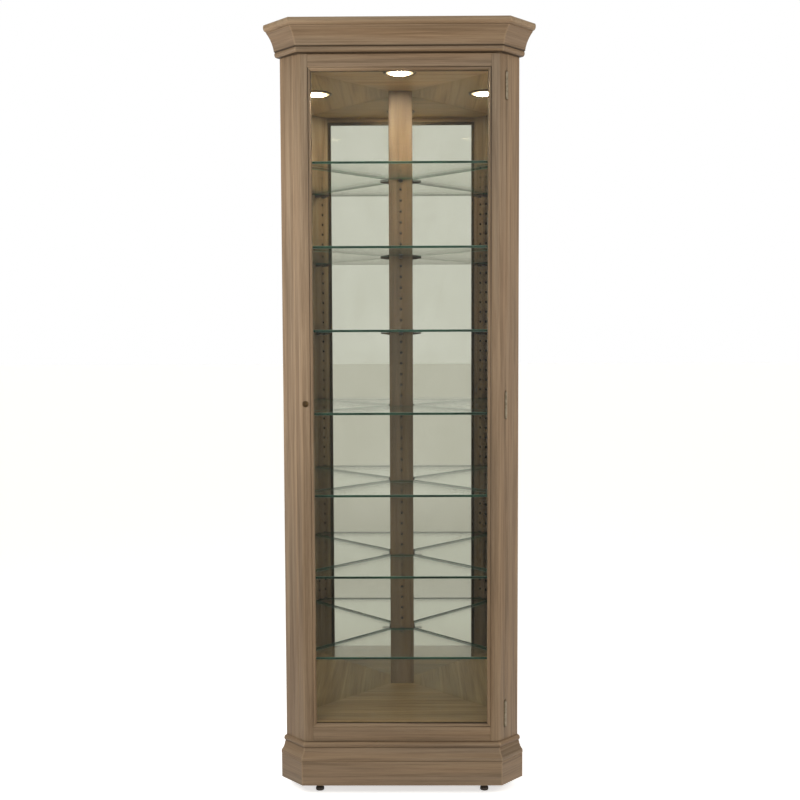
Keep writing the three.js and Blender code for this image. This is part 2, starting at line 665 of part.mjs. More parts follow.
function lockCam() {
  const front = PLUG_BACK + GAP;
  const arm = box(LOCK_X - CAM_HALF, LOCK_X + CAM_HALF, front, front + 2, LOCK_Z - 4.6, LOCK_Z + CAM_LENGTH);
  return cut(arm, [peg(TANG_RADIUS + 0.4, 8, LOCK_X, PLUG_BACK - 2, LOCK_Z, Math.PI / 2, 16)]);
}
add('lock_cam', lockCam(), NICKEL);

// The strike plate is let into the case behind the door's left stile, and the cam turns in behind it.
function strikePlate() {
  const [front, back] = [CASE_FRONT - 0.7, CASE_FRONT + 0.6];
  const plate = box(LOCK_X - 24, LOCK_X - 9.2, front, back, LOCK_Z - 28.6, LOCK_Z + 35.6);
  return cut(plate, STRIKE_HEIGHTS.map((z) => (
    peg(SCREW_HOLE, 6, STRIKE_SCREW_X, CASE_FRONT - 3, z, Math.PI / 2, 8))));
}
add('strike_plate', strikePlate(), NICKEL);

// ---- levelling feet ----
const FEET = [
  ['front_left', frontFoot(-1)],
  ['front_right', frontFoot(1)],
  ['rear', REAR_FOOT],
];
const footProfile = [[0, 0], [9.6, 0], [10.6, 1.2], [10.6, 6], [8, 9], [STEM_RADIUS, 10.4],
  [STEM_RADIUS, STEM_TOP], [0, STEM_TOP]];
for (const [word, [x, y]] of FEET) {
  add(`levelling_foot_${word}`, turned(footProfile, 12).translate(x, y, 0), DARK_PLASTIC);
}

export default group;
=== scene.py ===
"""The looks of the corner china cabinet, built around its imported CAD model."""

import json
import math

import bmesh
import bpy
from mathutils import Matrix, Vector


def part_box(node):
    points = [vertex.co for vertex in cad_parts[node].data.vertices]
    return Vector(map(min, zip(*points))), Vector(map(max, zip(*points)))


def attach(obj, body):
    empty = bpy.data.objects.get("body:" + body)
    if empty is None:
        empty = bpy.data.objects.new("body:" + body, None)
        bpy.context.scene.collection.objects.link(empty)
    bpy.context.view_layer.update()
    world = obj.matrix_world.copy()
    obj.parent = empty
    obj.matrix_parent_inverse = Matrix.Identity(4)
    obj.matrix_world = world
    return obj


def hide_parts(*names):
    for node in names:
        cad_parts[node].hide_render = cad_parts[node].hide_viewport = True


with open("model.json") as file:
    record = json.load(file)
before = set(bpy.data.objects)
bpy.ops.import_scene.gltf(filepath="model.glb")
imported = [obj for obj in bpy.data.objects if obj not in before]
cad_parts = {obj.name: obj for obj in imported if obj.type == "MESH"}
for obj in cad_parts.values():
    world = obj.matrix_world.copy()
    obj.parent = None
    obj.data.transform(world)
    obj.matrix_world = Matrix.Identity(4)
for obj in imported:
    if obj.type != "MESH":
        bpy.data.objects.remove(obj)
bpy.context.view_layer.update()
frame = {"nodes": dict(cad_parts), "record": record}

# ---- sizes in millimetres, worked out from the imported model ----
MM = 0.001
ROOT2 = math.sqrt(2)
GAP = 0.3  # between neighbouring pieces
DOOR_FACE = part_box("door_left_stile")[0].y


def span(node):
    """A node's lowest and highest corners in millimetres, with y measured from the door's front face."""
    return [(corner - Vector((0, DOOR_FACE, 0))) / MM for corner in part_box(node)]


def place(x, y, z):
    """A point given in millimetres from the door's front face, in the model's own frame."""
    return Vector((x * MM, DOOR_FACE + y * MM, z * MM))


stile_low, stile_high = span("door_left_stile")
DOOR_THICK = stile_high.y
FRONT_HALF = -stile_low.x - DOOR_THICK  # half the flat front, where the 45 degree returns begin
SIGHT_HALF = -stile_high.x
DOOR_BOTTOM, DOOR_TOP = stile_low.z, stile_high.z
SIGHT_BOTTOM = span("door_bottom_rail")[1].z
SIGHT_TOP = span("door_top_rail")[0].z
STICKING = 8.9  # width of the door frame's moulded inner edge

panel_low, panel_high = span("right_side_panel")
CASE_FRONT = panel_low.y
CASE_BOTTOM, CASE_TOP = panel_low.z, panel_high.z
RETURN_RUN = panel_high.x - FRONT_HALF
WALL_SUM = FRONT_HALF + 2 * RETURN_RUN  # the back planes are |x| + y = WALL_SUM
OUTER_RISE = -FRONT_HALF  # the returns' outer faces are y - |x| = OUTER_RISE
INNER_RISE = CASE_FRONT - panel_low.x

MIRROR_THICK = 3
mirror_low, mirror_high = span("right_mirror")
MIRROR_SUM = mirror_low.y + mirror_high.x - MIRROR_THICK / ROOT2
LIP_RISE = 2 * mirror_low.y - MIRROR_SUM - 2 * GAP * ROOT2
BACK_SUM = MIRROR_SUM + (MIRROR_THICK + GAP) * ROOT2
POST_FACE_Y, POST_REAR = span("rear_post")[0].y, span("rear_post")[1].y
POST_FACE_HALF = MIRROR_SUM - POST_FACE_Y
POST_SIDE_RISE = POST_FACE_Y - POST_FACE_HALF
POST_LAP_RISE = POST_SIDE_RISE + 8 * ROOT2

HOLE_PITCH = 29.5
HOLE_COUNT = 43
HOLE_RADIUS = 2.9
HOLE_DEPTH = 10
COUNTERSINK = 0.9
HOLE_COLUMNS = {"front": 21, "back": 45}  # along the side panel's inner face, from its front edge
SHELVES = [f"shelf_{i}" for i in range(1, 8)]
PIN_ABOVE_GLASS = 3.7  # the clip's pin, above the shelf's underside
TOP_HOLE_Z = span("shelf_1")[0].z + PIN_ABOVE_GLASS

HINGES = ["top", "middle", "bottom"]
HINGE_X, HINGE_Y = [
    (a + b) / 2 for a, b in zip(*[corner.xy for corner in span("hinge_pin_middle")])
]
LOCK_X = sum(corner.x for corner in span("lock_plug")) / 2
LOCK_Z = sum(corner.z for corner in span("lock_plug")) / 2
LIGHT_Y = sum(corner.y for corner in span("light_lens")) / 2
LENS_RADIUS = span("light_lens")[1].x
CEILING = span("top_board")[0].z


# ---- outlines ----
def slant(total, rise, side):
    """The plan point with x + y = total and y - x = rise on the right, or its mirror on the left."""
    return (side * (total - rise) / 2, (total + rise) / 2)


def front_corner(out, side, back=0.0):
    """Where front and return meet, on the body's outline moved out."""
    return (side * (FRONT_HALF + out * math.tan(math.pi / 8) + back), -out)


def wall_corner(out, side):
    """Where the return meets the wall, on the body's outline moved out."""
    return (side * (FRONT_HALF + RETURN_RUN + out / ROOT2), RETURN_RUN - out / ROOT2)


def both_sides(right):
    """A plan outline from its right half."""
    return right + [(-x, y) for x, y in reversed(right)]


def bow(a, b, sag, steps):
    """Points of a circular arc from a to b, bowed by sag to the right of that way."""
    dx, dz = b[0] - a[0], b[1] - a[1]
    chord = math.hypot(dx, dz)
    radius = (chord * chord / 4 + sag * sag) / (2 * abs(sag))
    half = math.asin(chord / (2 * radius))
    points = []
    for i in range(steps + 1):
        angle = half * (2 * i / steps - 1)
        along = 0.5 + radius * math.sin(angle) / chord
        out = math.copysign(radius * (math.cos(angle) - math.cos(half)) / chord, sag)
        points.append((a[0] + along * dx + out * dz, a[1] + along * dz - out * dx))
    return points


def flowing(points, steps):
    """A smooth curve through the points (Catmull-Rom)."""
    ends = [points[0], *points, points[-1]]
    curve = []
    for p, a, b, n in zip(ends, ends[1:], ends[2:], ends[3:]):
        for i in range(steps):
            t = i / steps
            curve.append(tuple(
                0.5 * (2 * a[k] + (b[k] - p[k]) * t
                       + (2 * p[k] - 5 * a[k] + 4 * b[k] - n[k]) * t * t
                       + (3 * a[k] - p[k] - 3 * b[k] + n[k]) * t ** 3)
                for k in (0, 1)))
    return [*curve, points[-1]]


def area(outline):
    """Twice the signed area."""
    return sum(a[0] * b[1] - b[0] * a[1] for a, b in zip(outline, outline[1:] + outline[:1]))


def eased(outline, radius, steps=4, least_turn=25):
    """The closed outline with its sharp corners rounded, and its wear and painted light: 1 at the middle of
    an outer corner, where the finish rubs thin and a painted highlight lies, and -1 in an inner one, where
    glaze gathers and painted shade falls. radius may be a list."""
    points, wear_and_painted_light = [], []
    turning = math.copysign(1, area(outline))
    count = len(outline)
    radii = radius if isinstance(radius, list) else [radius] * count
    for i, corner in enumerate(outline):
        before = Vector(outline[i - 1]) - Vector(corner)
        after = Vector(outline[(i + 1) % count]) - Vector(corner)
        turn = math.degrees(math.pi - before.angle(after))
        if turn < least_turn:
            points.append(tuple(corner))
            wear_and_painted_light.append(0.0)
            continue
        reach = min(radii[i], 0.45 * before.length, 0.45 * after.length)
        start = Vector(corner) + before.normalized() * reach
        end = Vector(corner) + after.normalized() * reach
        cross = before.x * after.y - before.y * after.x
        sign = -math.copysign(1, cross) * turning
        for k in range(steps + 1):
            t = k / steps
            mid = start * (1 - t) ** 2 + Vector(corner) * 2 * t * (1 - t) + end * t * t
            points.append(tuple(mid))
            wear_and_painted_light.append(sign * math.sin(math.pi * t))
    return points, wear_and_painted_light


def inset(outline, distance):
    """A convex outline moved in by distance."""
    way = math.copysign(1, area(outline))
    moved = []
    for i, corner in enumerate(outline):
        before = (Vector(corner) - Vector(outline[i - 1])).normalized()
        after = (Vector(outline[(i + 1) % len(outline)]) - Vector(corner)).normalized()
        normals = [Vector((-edge.y, edge.x)) * way for edge in (before, after)]
        share = distance / (1 + normals[0].dot(normals[1]))
        moved.append(tuple(Vector(corner) + (normals[0] + normals[1]) * share))
    return moved


# ---- meshes ----
def loft(rings, wear_and_painted_light=None):
    """A closed body through matching rings of (x, y, z) points in millimetres. The wear and painted light
    (above 0 paler: rubbed finish, painted highlight and painted light; below 0 darker: glaze, painted shade
    and painted shadow) is one list for all rings, or a list for each."""
    bm = bmesh.new()
    layer = bm.verts.layers.float.new("wear_and_painted_light")
    loops = []
    wear_and_painted_light = wear_and_painted_light or [0.0] * len(rings[0])
    wear_and_painted_light_rings = wear_and_painted_light if isinstance(wear_and_painted_light[0], list) else [wear_and_painted_light] * len(rings)
    for ring, amounts in zip(rings, wear_and_painted_light_rings):
        loop = [bm.verts.new(place(*point)) for point in ring]
        for vertex, amount in zip(loop, amounts):
            vertex[layer] = amount
        loops.append(loop)
    for low, high in zip(loops, loops[1:]):
        for i in range(len(low)):
            j = (i + 1) % len(low)
            bm.faces.new((low[i], low[j], high[j], high[i]))
    bm.faces.new(loops[0][::-1])
    bm.faces.new(loops[-1])
    bmesh.ops.recalc_face_normals(bm, faces=bm.faces)
    return bm


def prism(outline, z0, z1, radius=1.0, rubbing_and_painted_light=1.0):
    """An upright board over a plan outline, with softened arrises that are paler, more or less: the finish
    rubbed thin, and a painted highlight.
    """
    points, wear_and_painted_light = eased(outline, radius)
    wear_and_painted_light = [rubbing_and_painted_light * amount if amount > 0 else amount for amount in wear_and_painted_light]
    return loft([[(x, y, z) for x, y in points] for z in (z0, z1)], wear_and_painted_light)


def lathe(profile, sides=48):
    """A turned body: (radius, height) points in millimetres about +Z, from the axis to the axis."""
    bm = bmesh.new()
    bm.verts.layers.float.new("wear_and_painted_light")
    rings = []
    for radius, height in profile:
        count = 1 if radius < 1e-6 else sides
        rings.append([
            bm.verts.new((radius * MM * math.cos(2 * math.pi * i / sides),
                          radius * MM * math.sin(2 * math.pi * i / sides), height * MM))
            for i in range(count)])
    if profile[0][0] > 1e-6:
        rings.append(rings[0])
    for low, high in zip(rings, rings[1:]):
        for i in range(sides):
            j = (i + 1) % sides
            corners = [low[i % len(low)], low[j % len(low)], high[j % len(high)], high[i % len(high)]]
            bm.faces.new(list(dict.fromkeys(corners)))
    bmesh.ops.recalc_face_normals(bm, faces=bm.faces)
    return bm


def moved(bm, matrix):
    bmesh.ops.transform(bm, matrix=matrix, verts=bm.verts)
    return bm


def aimed(x, y):
    """Turns +Z to a level direction, with +Y up."""
    return Vector((x, y, 0)).to_track_quat("Z", "Y").to_matrix().to_4x4()


FACINGS = {
    "Z": Matrix.Identity(4),
    "-Y": Matrix.Rotation(math.pi / 2, 4, "X"),
    "Y": Matrix.Rotation(-math.pi / 2, 4, "X"),
    "left wall": aimed(-1, 1),
    "right wall": aimed(1, 1),
}


def at(x, y, z, facing="Z", turn=0.0):
    """Puts a body made about +Z at a place, with its +Z along facing, turned about it."""
    return Matrix.Translation(place(x, y, z)) @ FACINGS[facing] @ Matrix.Rotation(turn, 4, "Z")


def turned_at(profile, sides, x, y, z, facing="Z"):
    """A turned body at a place, with its axis along facing."""
    return moved(lathe(profile, sides), at(x, y, z, facing))


def to_mesh(bm, name):
    mesh = bpy.data.meshes.new(name)
    bm.to_mesh(mesh)
    bm.free()
    return mesh


def copy_of(mesh):
    bm = bmesh.new()
    bm.from_mesh(mesh)
    return bm


def combined(base, others, operation):
    """base with the other bodies cut away or joined on. Faces keep their material numbers."""
    target, *tools = [bpy.data.objects.new("body", to_mesh(bm, "body")) for bm in (base, *others)]
    for obj in (target, *tools):
        bpy.context.scene.collection.objects.link(obj)
        for placeholder in PLACEHOLDERS:
            obj.data.materials.append(placeholder)
    for tool in tools:
        modifier = target.modifiers.new("tool", "BOOLEAN")
        modifier.operation = operation
        modifier.solver = "EXACT"
        modifier.object = tool
    bpy.context.view_layer.update()
    graph = bpy.context.evaluated_depsgraph_get()
    mesh = bpy.data.meshes.new_from_object(target.evaluated_get(graph))
    result = copy_of(mesh)
    bmesh.ops.dissolve_degenerate(result, dist=1e-7, edges=result.edges)
    for leftover in [target, *tools]:
        old = leftover.data
        bpy.data.objects.remove(leftover)
        bpy.data.meshes.remove(old)
    bpy.data.meshes.remove(mesh)
    return result


def cut(base, others):
    return combined(base, others, "DIFFERENCE")


def join(base, others):
    return combined(base, others, "UNION")


def together(bodies):
    """Separate bodies as one, still apart."""
    result = bmesh.new()
    for body in bodies:
        mesh = to_mesh(body, "part")
        result.from_mesh(mesh)
        bpy.data.meshes.remove(mesh)
    return result


def block(x0, x1, y0, y1, z0, z1):
    ring = [(x0, y0), (x1, y0), (x1, y1), (x0, y1)]
    return loft([[(x, y, z) for x, y in ring] for z in (z0, z1)])


PLACEHOLDERS = [bpy.data.materials.new(f"placeholder_{i}") for i in range(2)]
board_count = 0


def piece(name, bm, look, body, stands_for=(), sharp=38):
    """A finished visible piece that rides on a CAD body."""
    global board_count
    board_count += 1
    mesh = to_mesh(bm, name)
    looks = look if isinstance(look, list) else [look]
    for material in looks:
        mesh.materials.append(material)
    board = mesh.attributes.new("board", "FLOAT", "POINT")
    board.data.foreach_set("value", [float(board_count)] * len(mesh.vertices))
    mesh.polygons.foreach_set("use_smooth", [True] * len(mesh.polygons))
    mesh.set_sharp_from_angle(angle=math.radians(sharp))
    obj = bpy.data.objects.new(name, mesh)
    bpy.context.scene.collection.objects.link(obj)
    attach(obj, body)
    if stands_for:
        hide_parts(*stands_for)
    return obj


RECORD = frame["record"]
SLOTS = {part["node"]: part["material_slot"] for part in RECORD["subparts"]}
BODIES = {node: body for body, nodes in RECORD["behaviour"]["bodies"].items() for node in nodes}


def stand_in(node, bm, look, sharp=38):
    """The piece that is seen in place of a CAD node."""
    return piece(node + "_fine", bm, look, BODIES[node], [node], sharp)


# ---- materials ----
class Shading:
    """The node tree of a material or the world, being built."""

    def __init__(self, owner):
        owner.use_nodes = True
        self.tree = owner.node_tree

    def add(self, kind, inputs=None, output=0, **settings):
        """A node with its settings and inputs, which are values or other nodes' outputs."""
        made = self.tree.nodes.new("ShaderNode" + kind)
        for name, value in settings.items():
            setattr(made, name, value)
        for socket, value in (inputs or {}).items():
            if isinstance(value, bpy.types.NodeSocket):
                self.tree.links.new(value, made.inputs[socket])
            else:
                made.inputs[socket].default_value = value
        return made.outputs[output]

    def math(self, operation, a, b=0.0):
        return self.add("Math", {0: a, 1: b}, operation=operation)

    def spread(self, value, low, high):
        """A 0 to 1 value as one from low to high."""
        return self.add("MapRange", {"Value": value, "To Min": low, "To Max": high})

    def window(self, value, low, high):
        """0 below low, 1 above high."""
        return self.add("MapRange", {"Value": value, "From Min": low, "From Max": high})

    def blend(self, share, a, b, mode="MIX"):
        return self.add("Mix", {0: share, 6: a, 7: b}, output=2, data_type="RGBA", blend_type=mode)

    def ramp(self, value, points):
        """Colours by value, through the given (value, colour) points."""
        made = self.add("ValToRGB", {"Fac": value})
        stops = made.node.color_ramp.elements
        for stop, (position, colour) in zip(stops, (points[0], points[-1])):
            stop.position, stop.color = position, (*colour, 1)
        for position, colour in points[1:-1]:
            stops.new(position).color = (*colour, 1)
        return made


class Look(Shading):
    """A material being built round a Principled shader."""

    def __init__(self, name, **values):
        self.material = bpy.data.materials.new(name)
        super().__init__(self.material)
        self.surface = self.tree.nodes["Principled BSDF"]
        for socket, value in values.items():
            self.surface.inputs[socket.replace("_", " ")].default_value = value

    def set(self, socket, value):
        self.tree.links.new(value, self.surface.inputs[socket])

    def colour(self, value, low, high, dark, light):
        """The base colour: dark where the value is below low, light where it is above high."""
        self.set("Base Color", self.blend(self.window(value, low, high), (*dark, 1), (*light, 1)))

    def place(self):
        return self.add("TexCoord", output=3)

    def noise(self, where, scale, detail=3.0, rough=0.5, distortion=0.0):
        return self.add("TexNoise", {
            "Vector": where, "Scale": scale, "Detail": detail, "Roughness": rough,
            "Distortion": distortion})

    def stretched(self, where, along, across):
        """Coordinates whose first axis is along the grain, scaled for a texture."""
        return self.add("VectorMath", {0: where, 1: (along, across, across)}, operation="MULTIPLY")

    def bump(self, height, strength, distance):
        self.set("Normal", self.add("Bump", {
            "Height": height, "Strength": strength, "Distance": distance}))


GRAIN_TURNS = {
    "upright": (0, math.pi / 2, 0),
    "across": (0, 0, 0),
    "left": (0, 0, math.pi / 4),
    "right": (0, 0, -math.pi / 4),
}


RUBBED_AND_LIT_TONE = 1.45  # paler, against the light of the grain: where the finish is rubbed thin, with painted highlights on arrises and mitres, and painted light on the right panel's inner face
GLAZE_AND_SHADE_TONE = 0.32  # darker, against the dark of the grain: where the glaze has gathered, with painted shade in inner corners and quirks and painted shadow under the mouldings
GLAZE_AND_SHADE_COVER = 0.94


def wood(name, way, dark, middle, light, gloss=0.16, rubbing_and_painted_light=1.0):
    """Straight-grained wood under a weathered taupe stain and a thin satin lacquer. The piece's board number
    shifts the grain, and its wear and painted light sets where it is paler (above 0: the finish rubbed thin,
    painted highlights, painted light) or darker (below 0: gathered glaze, painted shade and painted shadow)."""
    look = Look(name, Coat_Weight=gloss, Coat_Roughness=0.34, Specular_IOR_Level=0.4)
    offset = look.add("Attribute", output=2, attribute_name="board")
    shift = look.add("VectorMath", {0: offset, 1: (1.37, 0.83, 0.61)}, operation="MULTIPLY")
    turned = look.add("Mapping", {"Vector": look.place(), "Rotation": GRAIN_TURNS[way]})
    where = look.add("VectorMath", {0: turned, 1: shift}, operation="ADD")
    tone = look.noise(look.stretched(where, 1.6, 22), 1, 2)
    figure = look.noise(look.stretched(where, 2.2, 70), 1, 4, 0.55, 0.6)
    streaks = look.noise(look.stretched(where, 5, 260), 1, 3, 0.6, 0.3)
    fibres = look.noise(look.stretched(where, 26, 1300), 1, 2, 0.6)
    pores = look.window(look.noise(look.stretched(where, 60, 2100), 1, 1), 0.6, 0.74)
    streaky = look.math("ADD", look.math("MULTIPLY", figure, 0.5), look.math("MULTIPLY", streaks, 0.34))
    grain = look.math("ADD", streaky, look.math("MULTIPLY", fibres, 0.16))
    stained = look.ramp(grain, [(0.36, dark), (0.5, middle), (0.65, light)])
    toned = look.blend(look.window(tone, 0.3, 0.7), (0.90, 0.93, 0.97, 1), (1.08, 1.03, 0.98, 1))
    colour = look.blend(1.0, stained, toned, "MULTIPLY")
    porous = look.blend(look.math("MULTIPLY", pores, 0.3), colour, (*dark, 1))
    wear_and_painted_light = look.add("Attribute", output=2, attribute_name="wear_and_painted_light")
    # paler where the finish is rubbed thin, and where painted highlights and painted light lie
    rubbed_and_lit = look.math("MULTIPLY", look.window(wear_and_painted_light, 0, 1),
                       look.spread(streaks, 0.25 * rubbing_and_painted_light, 0.75 * rubbing_and_painted_light))
    paler = look.blend(rubbed_and_lit, porous, (*[min(1, RUBBED_AND_LIT_TONE * c) for c in light], 1))
    # darker where glaze gathers, and where painted shade and painted shadow lie
    gathered_glaze_and_shade = look.math("MULTIPLY", look.window(wear_and_painted_light, 0, -1), GLAZE_AND_SHADE_COVER)
    look.set("Base Color", look.blend(gathered_glaze_and_shade, paler, (*[GLAZE_AND_SHADE_TONE * c for c in dark], 1)))
    sheen = look.math("ADD", streaks, look.math("MULTIPLY", pores, 0.3))
    look.set("Roughness", look.spread(sheen, 0.42, 0.62))
    height = look.math("SUBTRACT", look.math("ADD", fibres, look.math("MULTIPLY", streaks, 0.7)), pores)
    look.bump(height, 0.22, 0.0002)
    return look.material


def shaded(tones, share):
    return [tuple(share * c for c in tone) for tone in tones]


def plywood(name):
    """Raw plywood, with the wide wandering figure of peeled veneer."""
    look = Look(name, Specular_IOR_Level=0.25)
    turned = look.add("Mapping", {"Vector": look.place(), "Rotation": GRAIN_TURNS["upright"]})
    rings = look.add("TexWave", {
        "Vector": look.stretched(turned, 1.1, 5.5), "Scale": 1.6, "Distortion": 7.0, "Detail": 3.0,
        "Detail Scale": 1.2, "Detail Roughness": 0.6}, output=1, bands_direction="Y")
    fibres = look.noise(look.stretched(turned, 22, 900), 1, 3)
    mixed = look.math("ADD", look.math("MULTIPLY", rings, 0.35), look.math("MULTIPLY", fibres, 0.65))
    look.colour(mixed, 0.25, 0.8, (0.30, 0.20, 0.12), (0.50, 0.37, 0.24))
    look.set("Roughness", look.spread(fibres, 0.7, 0.9))
    look.bump(fibres, 0.3, 0.0003)
    return look.material


def clear_glass(name, tint, haze, head_on):
    """A thin clear wall: what is behind it, a reflection that grows from its share head on to all at a
    glance, and a little dust."""
    look = Look(name)
    where = look.place()
    smears = look.noise(where, 9, 4, 0.6, 0.8)
    specks = look.window(look.noise(where, 900, 2), 0.66, 0.8)
    facing = look.add("LayerWeight", {"Blend": 0.5}, output=1)
    shine = look.math("POWER", facing, 5.0)
    mirrored = look.math("ADD", look.math("MULTIPLY", shine, 0.95), head_on)
    through = look.add("BsdfTransparent", {"Color": (*tint, 1)})
    gloss = look.add("BsdfAnisotropic", {
        "Color": (1, 1, 1, 1), "Roughness": look.spread(look.window(smears, 0.45, 0.7), 0.0, 0.05)})
    pane = look.add("MixShader", {0: mirrored, 1: through, 2: gloss})
    dust = look.add("BsdfDiffuse", {"Color": (0.75, 0.76, 0.72, 1)})
    dusty = look.math("MULTIPLY", look.math("ADD", look.math("MULTIPLY", smears, 0.7), specks), haze)
    both = look.add("MixShader", {0: dusty, 1: pane, 2: dust})
    look.tree.links.new(both, look.tree.nodes["Material Output"].inputs["Surface"])
    look.tree.nodes.remove(look.surface)
    return look.material


def glass_edge(name):
    """The polished edge of float glass, dark green, with lighter ground arrises that carry a painted
    highlight (marked by the wear and painted light).
    """
    look = Look(name, Specular_IOR_Level=0.16)
    where = look.place()
    depth = look.noise(look.stretched(where, 9, 40), 1, 3)
    core = look.blend(look.window(depth, 0.35, 0.65), (0.004, 0.020, 0.012, 1), (0.018, 0.066, 0.042, 1))
    arris_and_highlight = look.window(look.add("Attribute", output=2, attribute_name="wear_and_painted_light"), 0.2, 1.0)
    look.set("Base Color", look.blend(arris_and_highlight, core, (0.26, 0.50, 0.41, 1)))
    look.set("Roughness", look.spread(look.noise(where, 300), 0.08, 0.2))
    return look.material


def silvered(name):
    """Mirror glass, with the faintest clouding and dust."""
    look = Look(name, Metallic=1.0)
    where = look.place()
    clouds = look.noise(where, 5, 4, 0.6)
    look.colour(clouds, 0.35, 0.7, (0.82, 0.83, 0.79), (0.86, 0.87, 0.84))
    look.set("Roughness", look.spread(look.window(look.noise(where, 30, 4), 0.5, 0.8), 0.0, 0.02))
    return look.material


def metal(name, dark, light, rough, grain=(40, 900), metallic=0.95):
    """Metal with brushed or cast variation in its colour, gloss and surface."""
    look = Look(name, Metallic=metallic)
    where = look.place()
    patina = look.noise(where, 120, 4, 0.65, 0.4)
    brush = look.noise(look.stretched(where, *grain), 1, 3)
    look.colour(patina, 0.3, 0.7, dark, light)
    look.set("Roughness", look.spread(look.math("MULTIPLY", look.math("ADD", patina, brush), 0.5), *rough))
    look.bump(look.math("ADD", brush, patina), 0.12, 0.0001)
    return look.material


def moulded(name, dark, light, rough, grain_scale):
    """Moulded plastic or rubber, or sprayed enamel, with a fine texture."""
    look = Look(name, Specular_IOR_Level=0.4)
    where = look.place()
    clouds = look.noise(where, 60, 4, 0.6)
    skin = look.noise(where, grain_scale, 2)
    look.colour(clouds, 0.3, 0.7, dark, light)
    look.set("Roughness", look.spread(look.math("MULTIPLY", look.math("ADD", clouds, skin), 0.5), *rough))
    look.bump(skin, 0.25, 0.0001)
    return look.material


LENS_GLOW = 600.0  # over the lamp; the rest of the lens glows far less


def glowing_lens(name):
    """The lit lens: frosted, with the lamp brighter behind its middle."""
    look = Look(name, Roughness=0.4)
    where = look.place()
    centre = look.add("VectorMath", {0: where, 1: tuple(place(0, LIGHT_Y, CEILING))}, output=1,
                      operation="DISTANCE")
    middle = look.math("POWER", look.window(centre, 1.0 * LENS_RADIUS * MM, 0.55 * LENS_RADIUS * MM), 6.0)
    frost = look.noise(where, 700, 3)
    look.set("Base Color", look.blend(frost, (0.80, 0.76, 0.66, 1), (0.95, 0.92, 0.84, 1)))
    look.set("Emission Color", look.blend(middle, (1.0, 0.74, 0.42, 1), (1.0, 0.83, 0.57, 1)))
    glow = look.math("MULTIPLY", look.spread(middle, 0.002, 1.0), look.spread(frost, 0.9, 1.1))
    look.set("Emission Strength", look.math("MULTIPLY", glow, LENS_GLOW))
    look.bump(frost, 0.3, 0.0002)
    return look.material


CASE_TONES = [(0.150, 0.098, 0.056), (0.245, 0.169, 0.104), (0.325, 0.237, 0.152)]
INNER_TONES = [(0.168, 0.109, 0.053), (0.260, 0.177, 0.090), (0.337, 0.240, 0.128)]
CASE_PAINTED_LIGHT = {"upright": 1.0, "across": 1.04, "left": 0.93, "right": 0.96}  # lit and shaded copies of the case wood: painted light and painted shade for the way each group of pieces faces the lights
CASE_WOOD = {
    way: wood(f"case_wood_{way}", way, *shaded(CASE_TONES, shade)) for way, shade in CASE_PAINTED_LIGHT.items()}
INNER_WOOD = wood("inner_wood", "across", *shaded(INNER_TONES, 1.5), gloss=0.08, rubbing_and_painted_light=0.2)
# the glazing frame is painted near black: painted shade
FRAME_WOOD_PAINTED_SHADE = wood("frame_wood_painted_shade", "upright", *shaded(INNER_TONES, 0.22), gloss=0.0, rubbing_and_painted_light=0.0)
# the rear post is painted darker than the inner wood: painted shade
POST_WOOD_PAINTED_SHADE = wood("post_wood_painted_shade", "upright", *shaded(INNER_TONES, 0.45), gloss=0.08, rubbing_and_painted_light=0.1)
# the shelf-pin holes and their countersinks are painted near black: painted shade
BORE_PAINTED_SHADE = wood("bored_wood_painted_shade", "across", *shaded(INNER_TONES, 0.04), gloss=0.0)
PLYWOOD = plywood("back_plywood")
MIRROR = silvered("mirror_glass")
PANE = clear_glass("door_pane", (0.980, 0.985, 0.976), 0.006, 0.012)
SHELF = clear_glass("shelf_glass", (0.972, 0.984, 0.970), 0.012, 0.04)
GLASS_EDGE = glass_edge("shelf_glass_edge")
NICKEL = metal("hinge_metal", (0.20, 0.165, 0.115), (0.40, 0.35, 0.27), (0.28, 0.45), (900, 900))
ZINC = metal("plated_steel", (0.38, 0.37, 0.35), (0.55, 0.54, 0.51), (0.25, 0.4))
BRONZE = metal("lock_bronze", (0.065, 0.040, 0.020), (0.15, 0.10, 0.052), (0.3, 0.45), (300, 900))
TRIM = metal("trim_bronze", (0.10, 0.07, 0.045), (0.19, 0.14, 0.09), (0.35, 0.5), (200, 500), 0.7)
CLIP = metal("clip_metal", (0.05, 0.042, 0.034), (0.12, 0.10, 0.08), (0.3, 0.5), (300, 900), 0.8)
ENAMEL = moulded("light_metal", (0.62, 0.61, 0.57), (0.74, 0.73, 0.69), (0.3, 0.45), 1500)
RUBBER = moulded("black_rubber", (0.016, 0.015, 0.014), (0.03, 0.028, 0.026), (0.6, 0.8), 2500)
FOOT = moulded("foot_plastic", (0.030, 0.024, 0.020), (0.060, 0.048, 0.040), (0.45, 0.65), 1800)
LENS = glowing_lens("light_lens")

SIDES = {"left": -1, "right": 1}


# ---- the case ----
def hole_point(along, side):
    """The plan point on a side panel's inner face, so far from its front edge."""
    y = CASE_FRONT + along / ROOT2
    return (side * (y - INNER_RISE), y)


def drill_column(x, y, inward):
    """The shelf-pin holes of one column, each with a small countersink, their faces marked for the near-black
    painted shade of the bores. inward is the face's normal.
    """
    mouth = HOLE_RADIUS + COUNTERSINK
    profile = [
        (0, -HOLE_DEPTH), (HOLE_RADIUS, -HOLE_DEPTH), (HOLE_RADIUS, -0.5), (mouth, 0), (mouth, 1), (0, 1)]
    turn = aimed(*inward)
    column = together([
        moved(lathe(profile, 20), Matrix.Translation(place(x, y, TOP_HOLE_Z - i * HOLE_PITCH)) @ turn)
        for i in range(HOLE_COUNT)])
    for face in column.faces:
        face.material_index = 1
    return column


def inward_normal(side):
    return (-side / ROOT2, 1 / ROOT2)


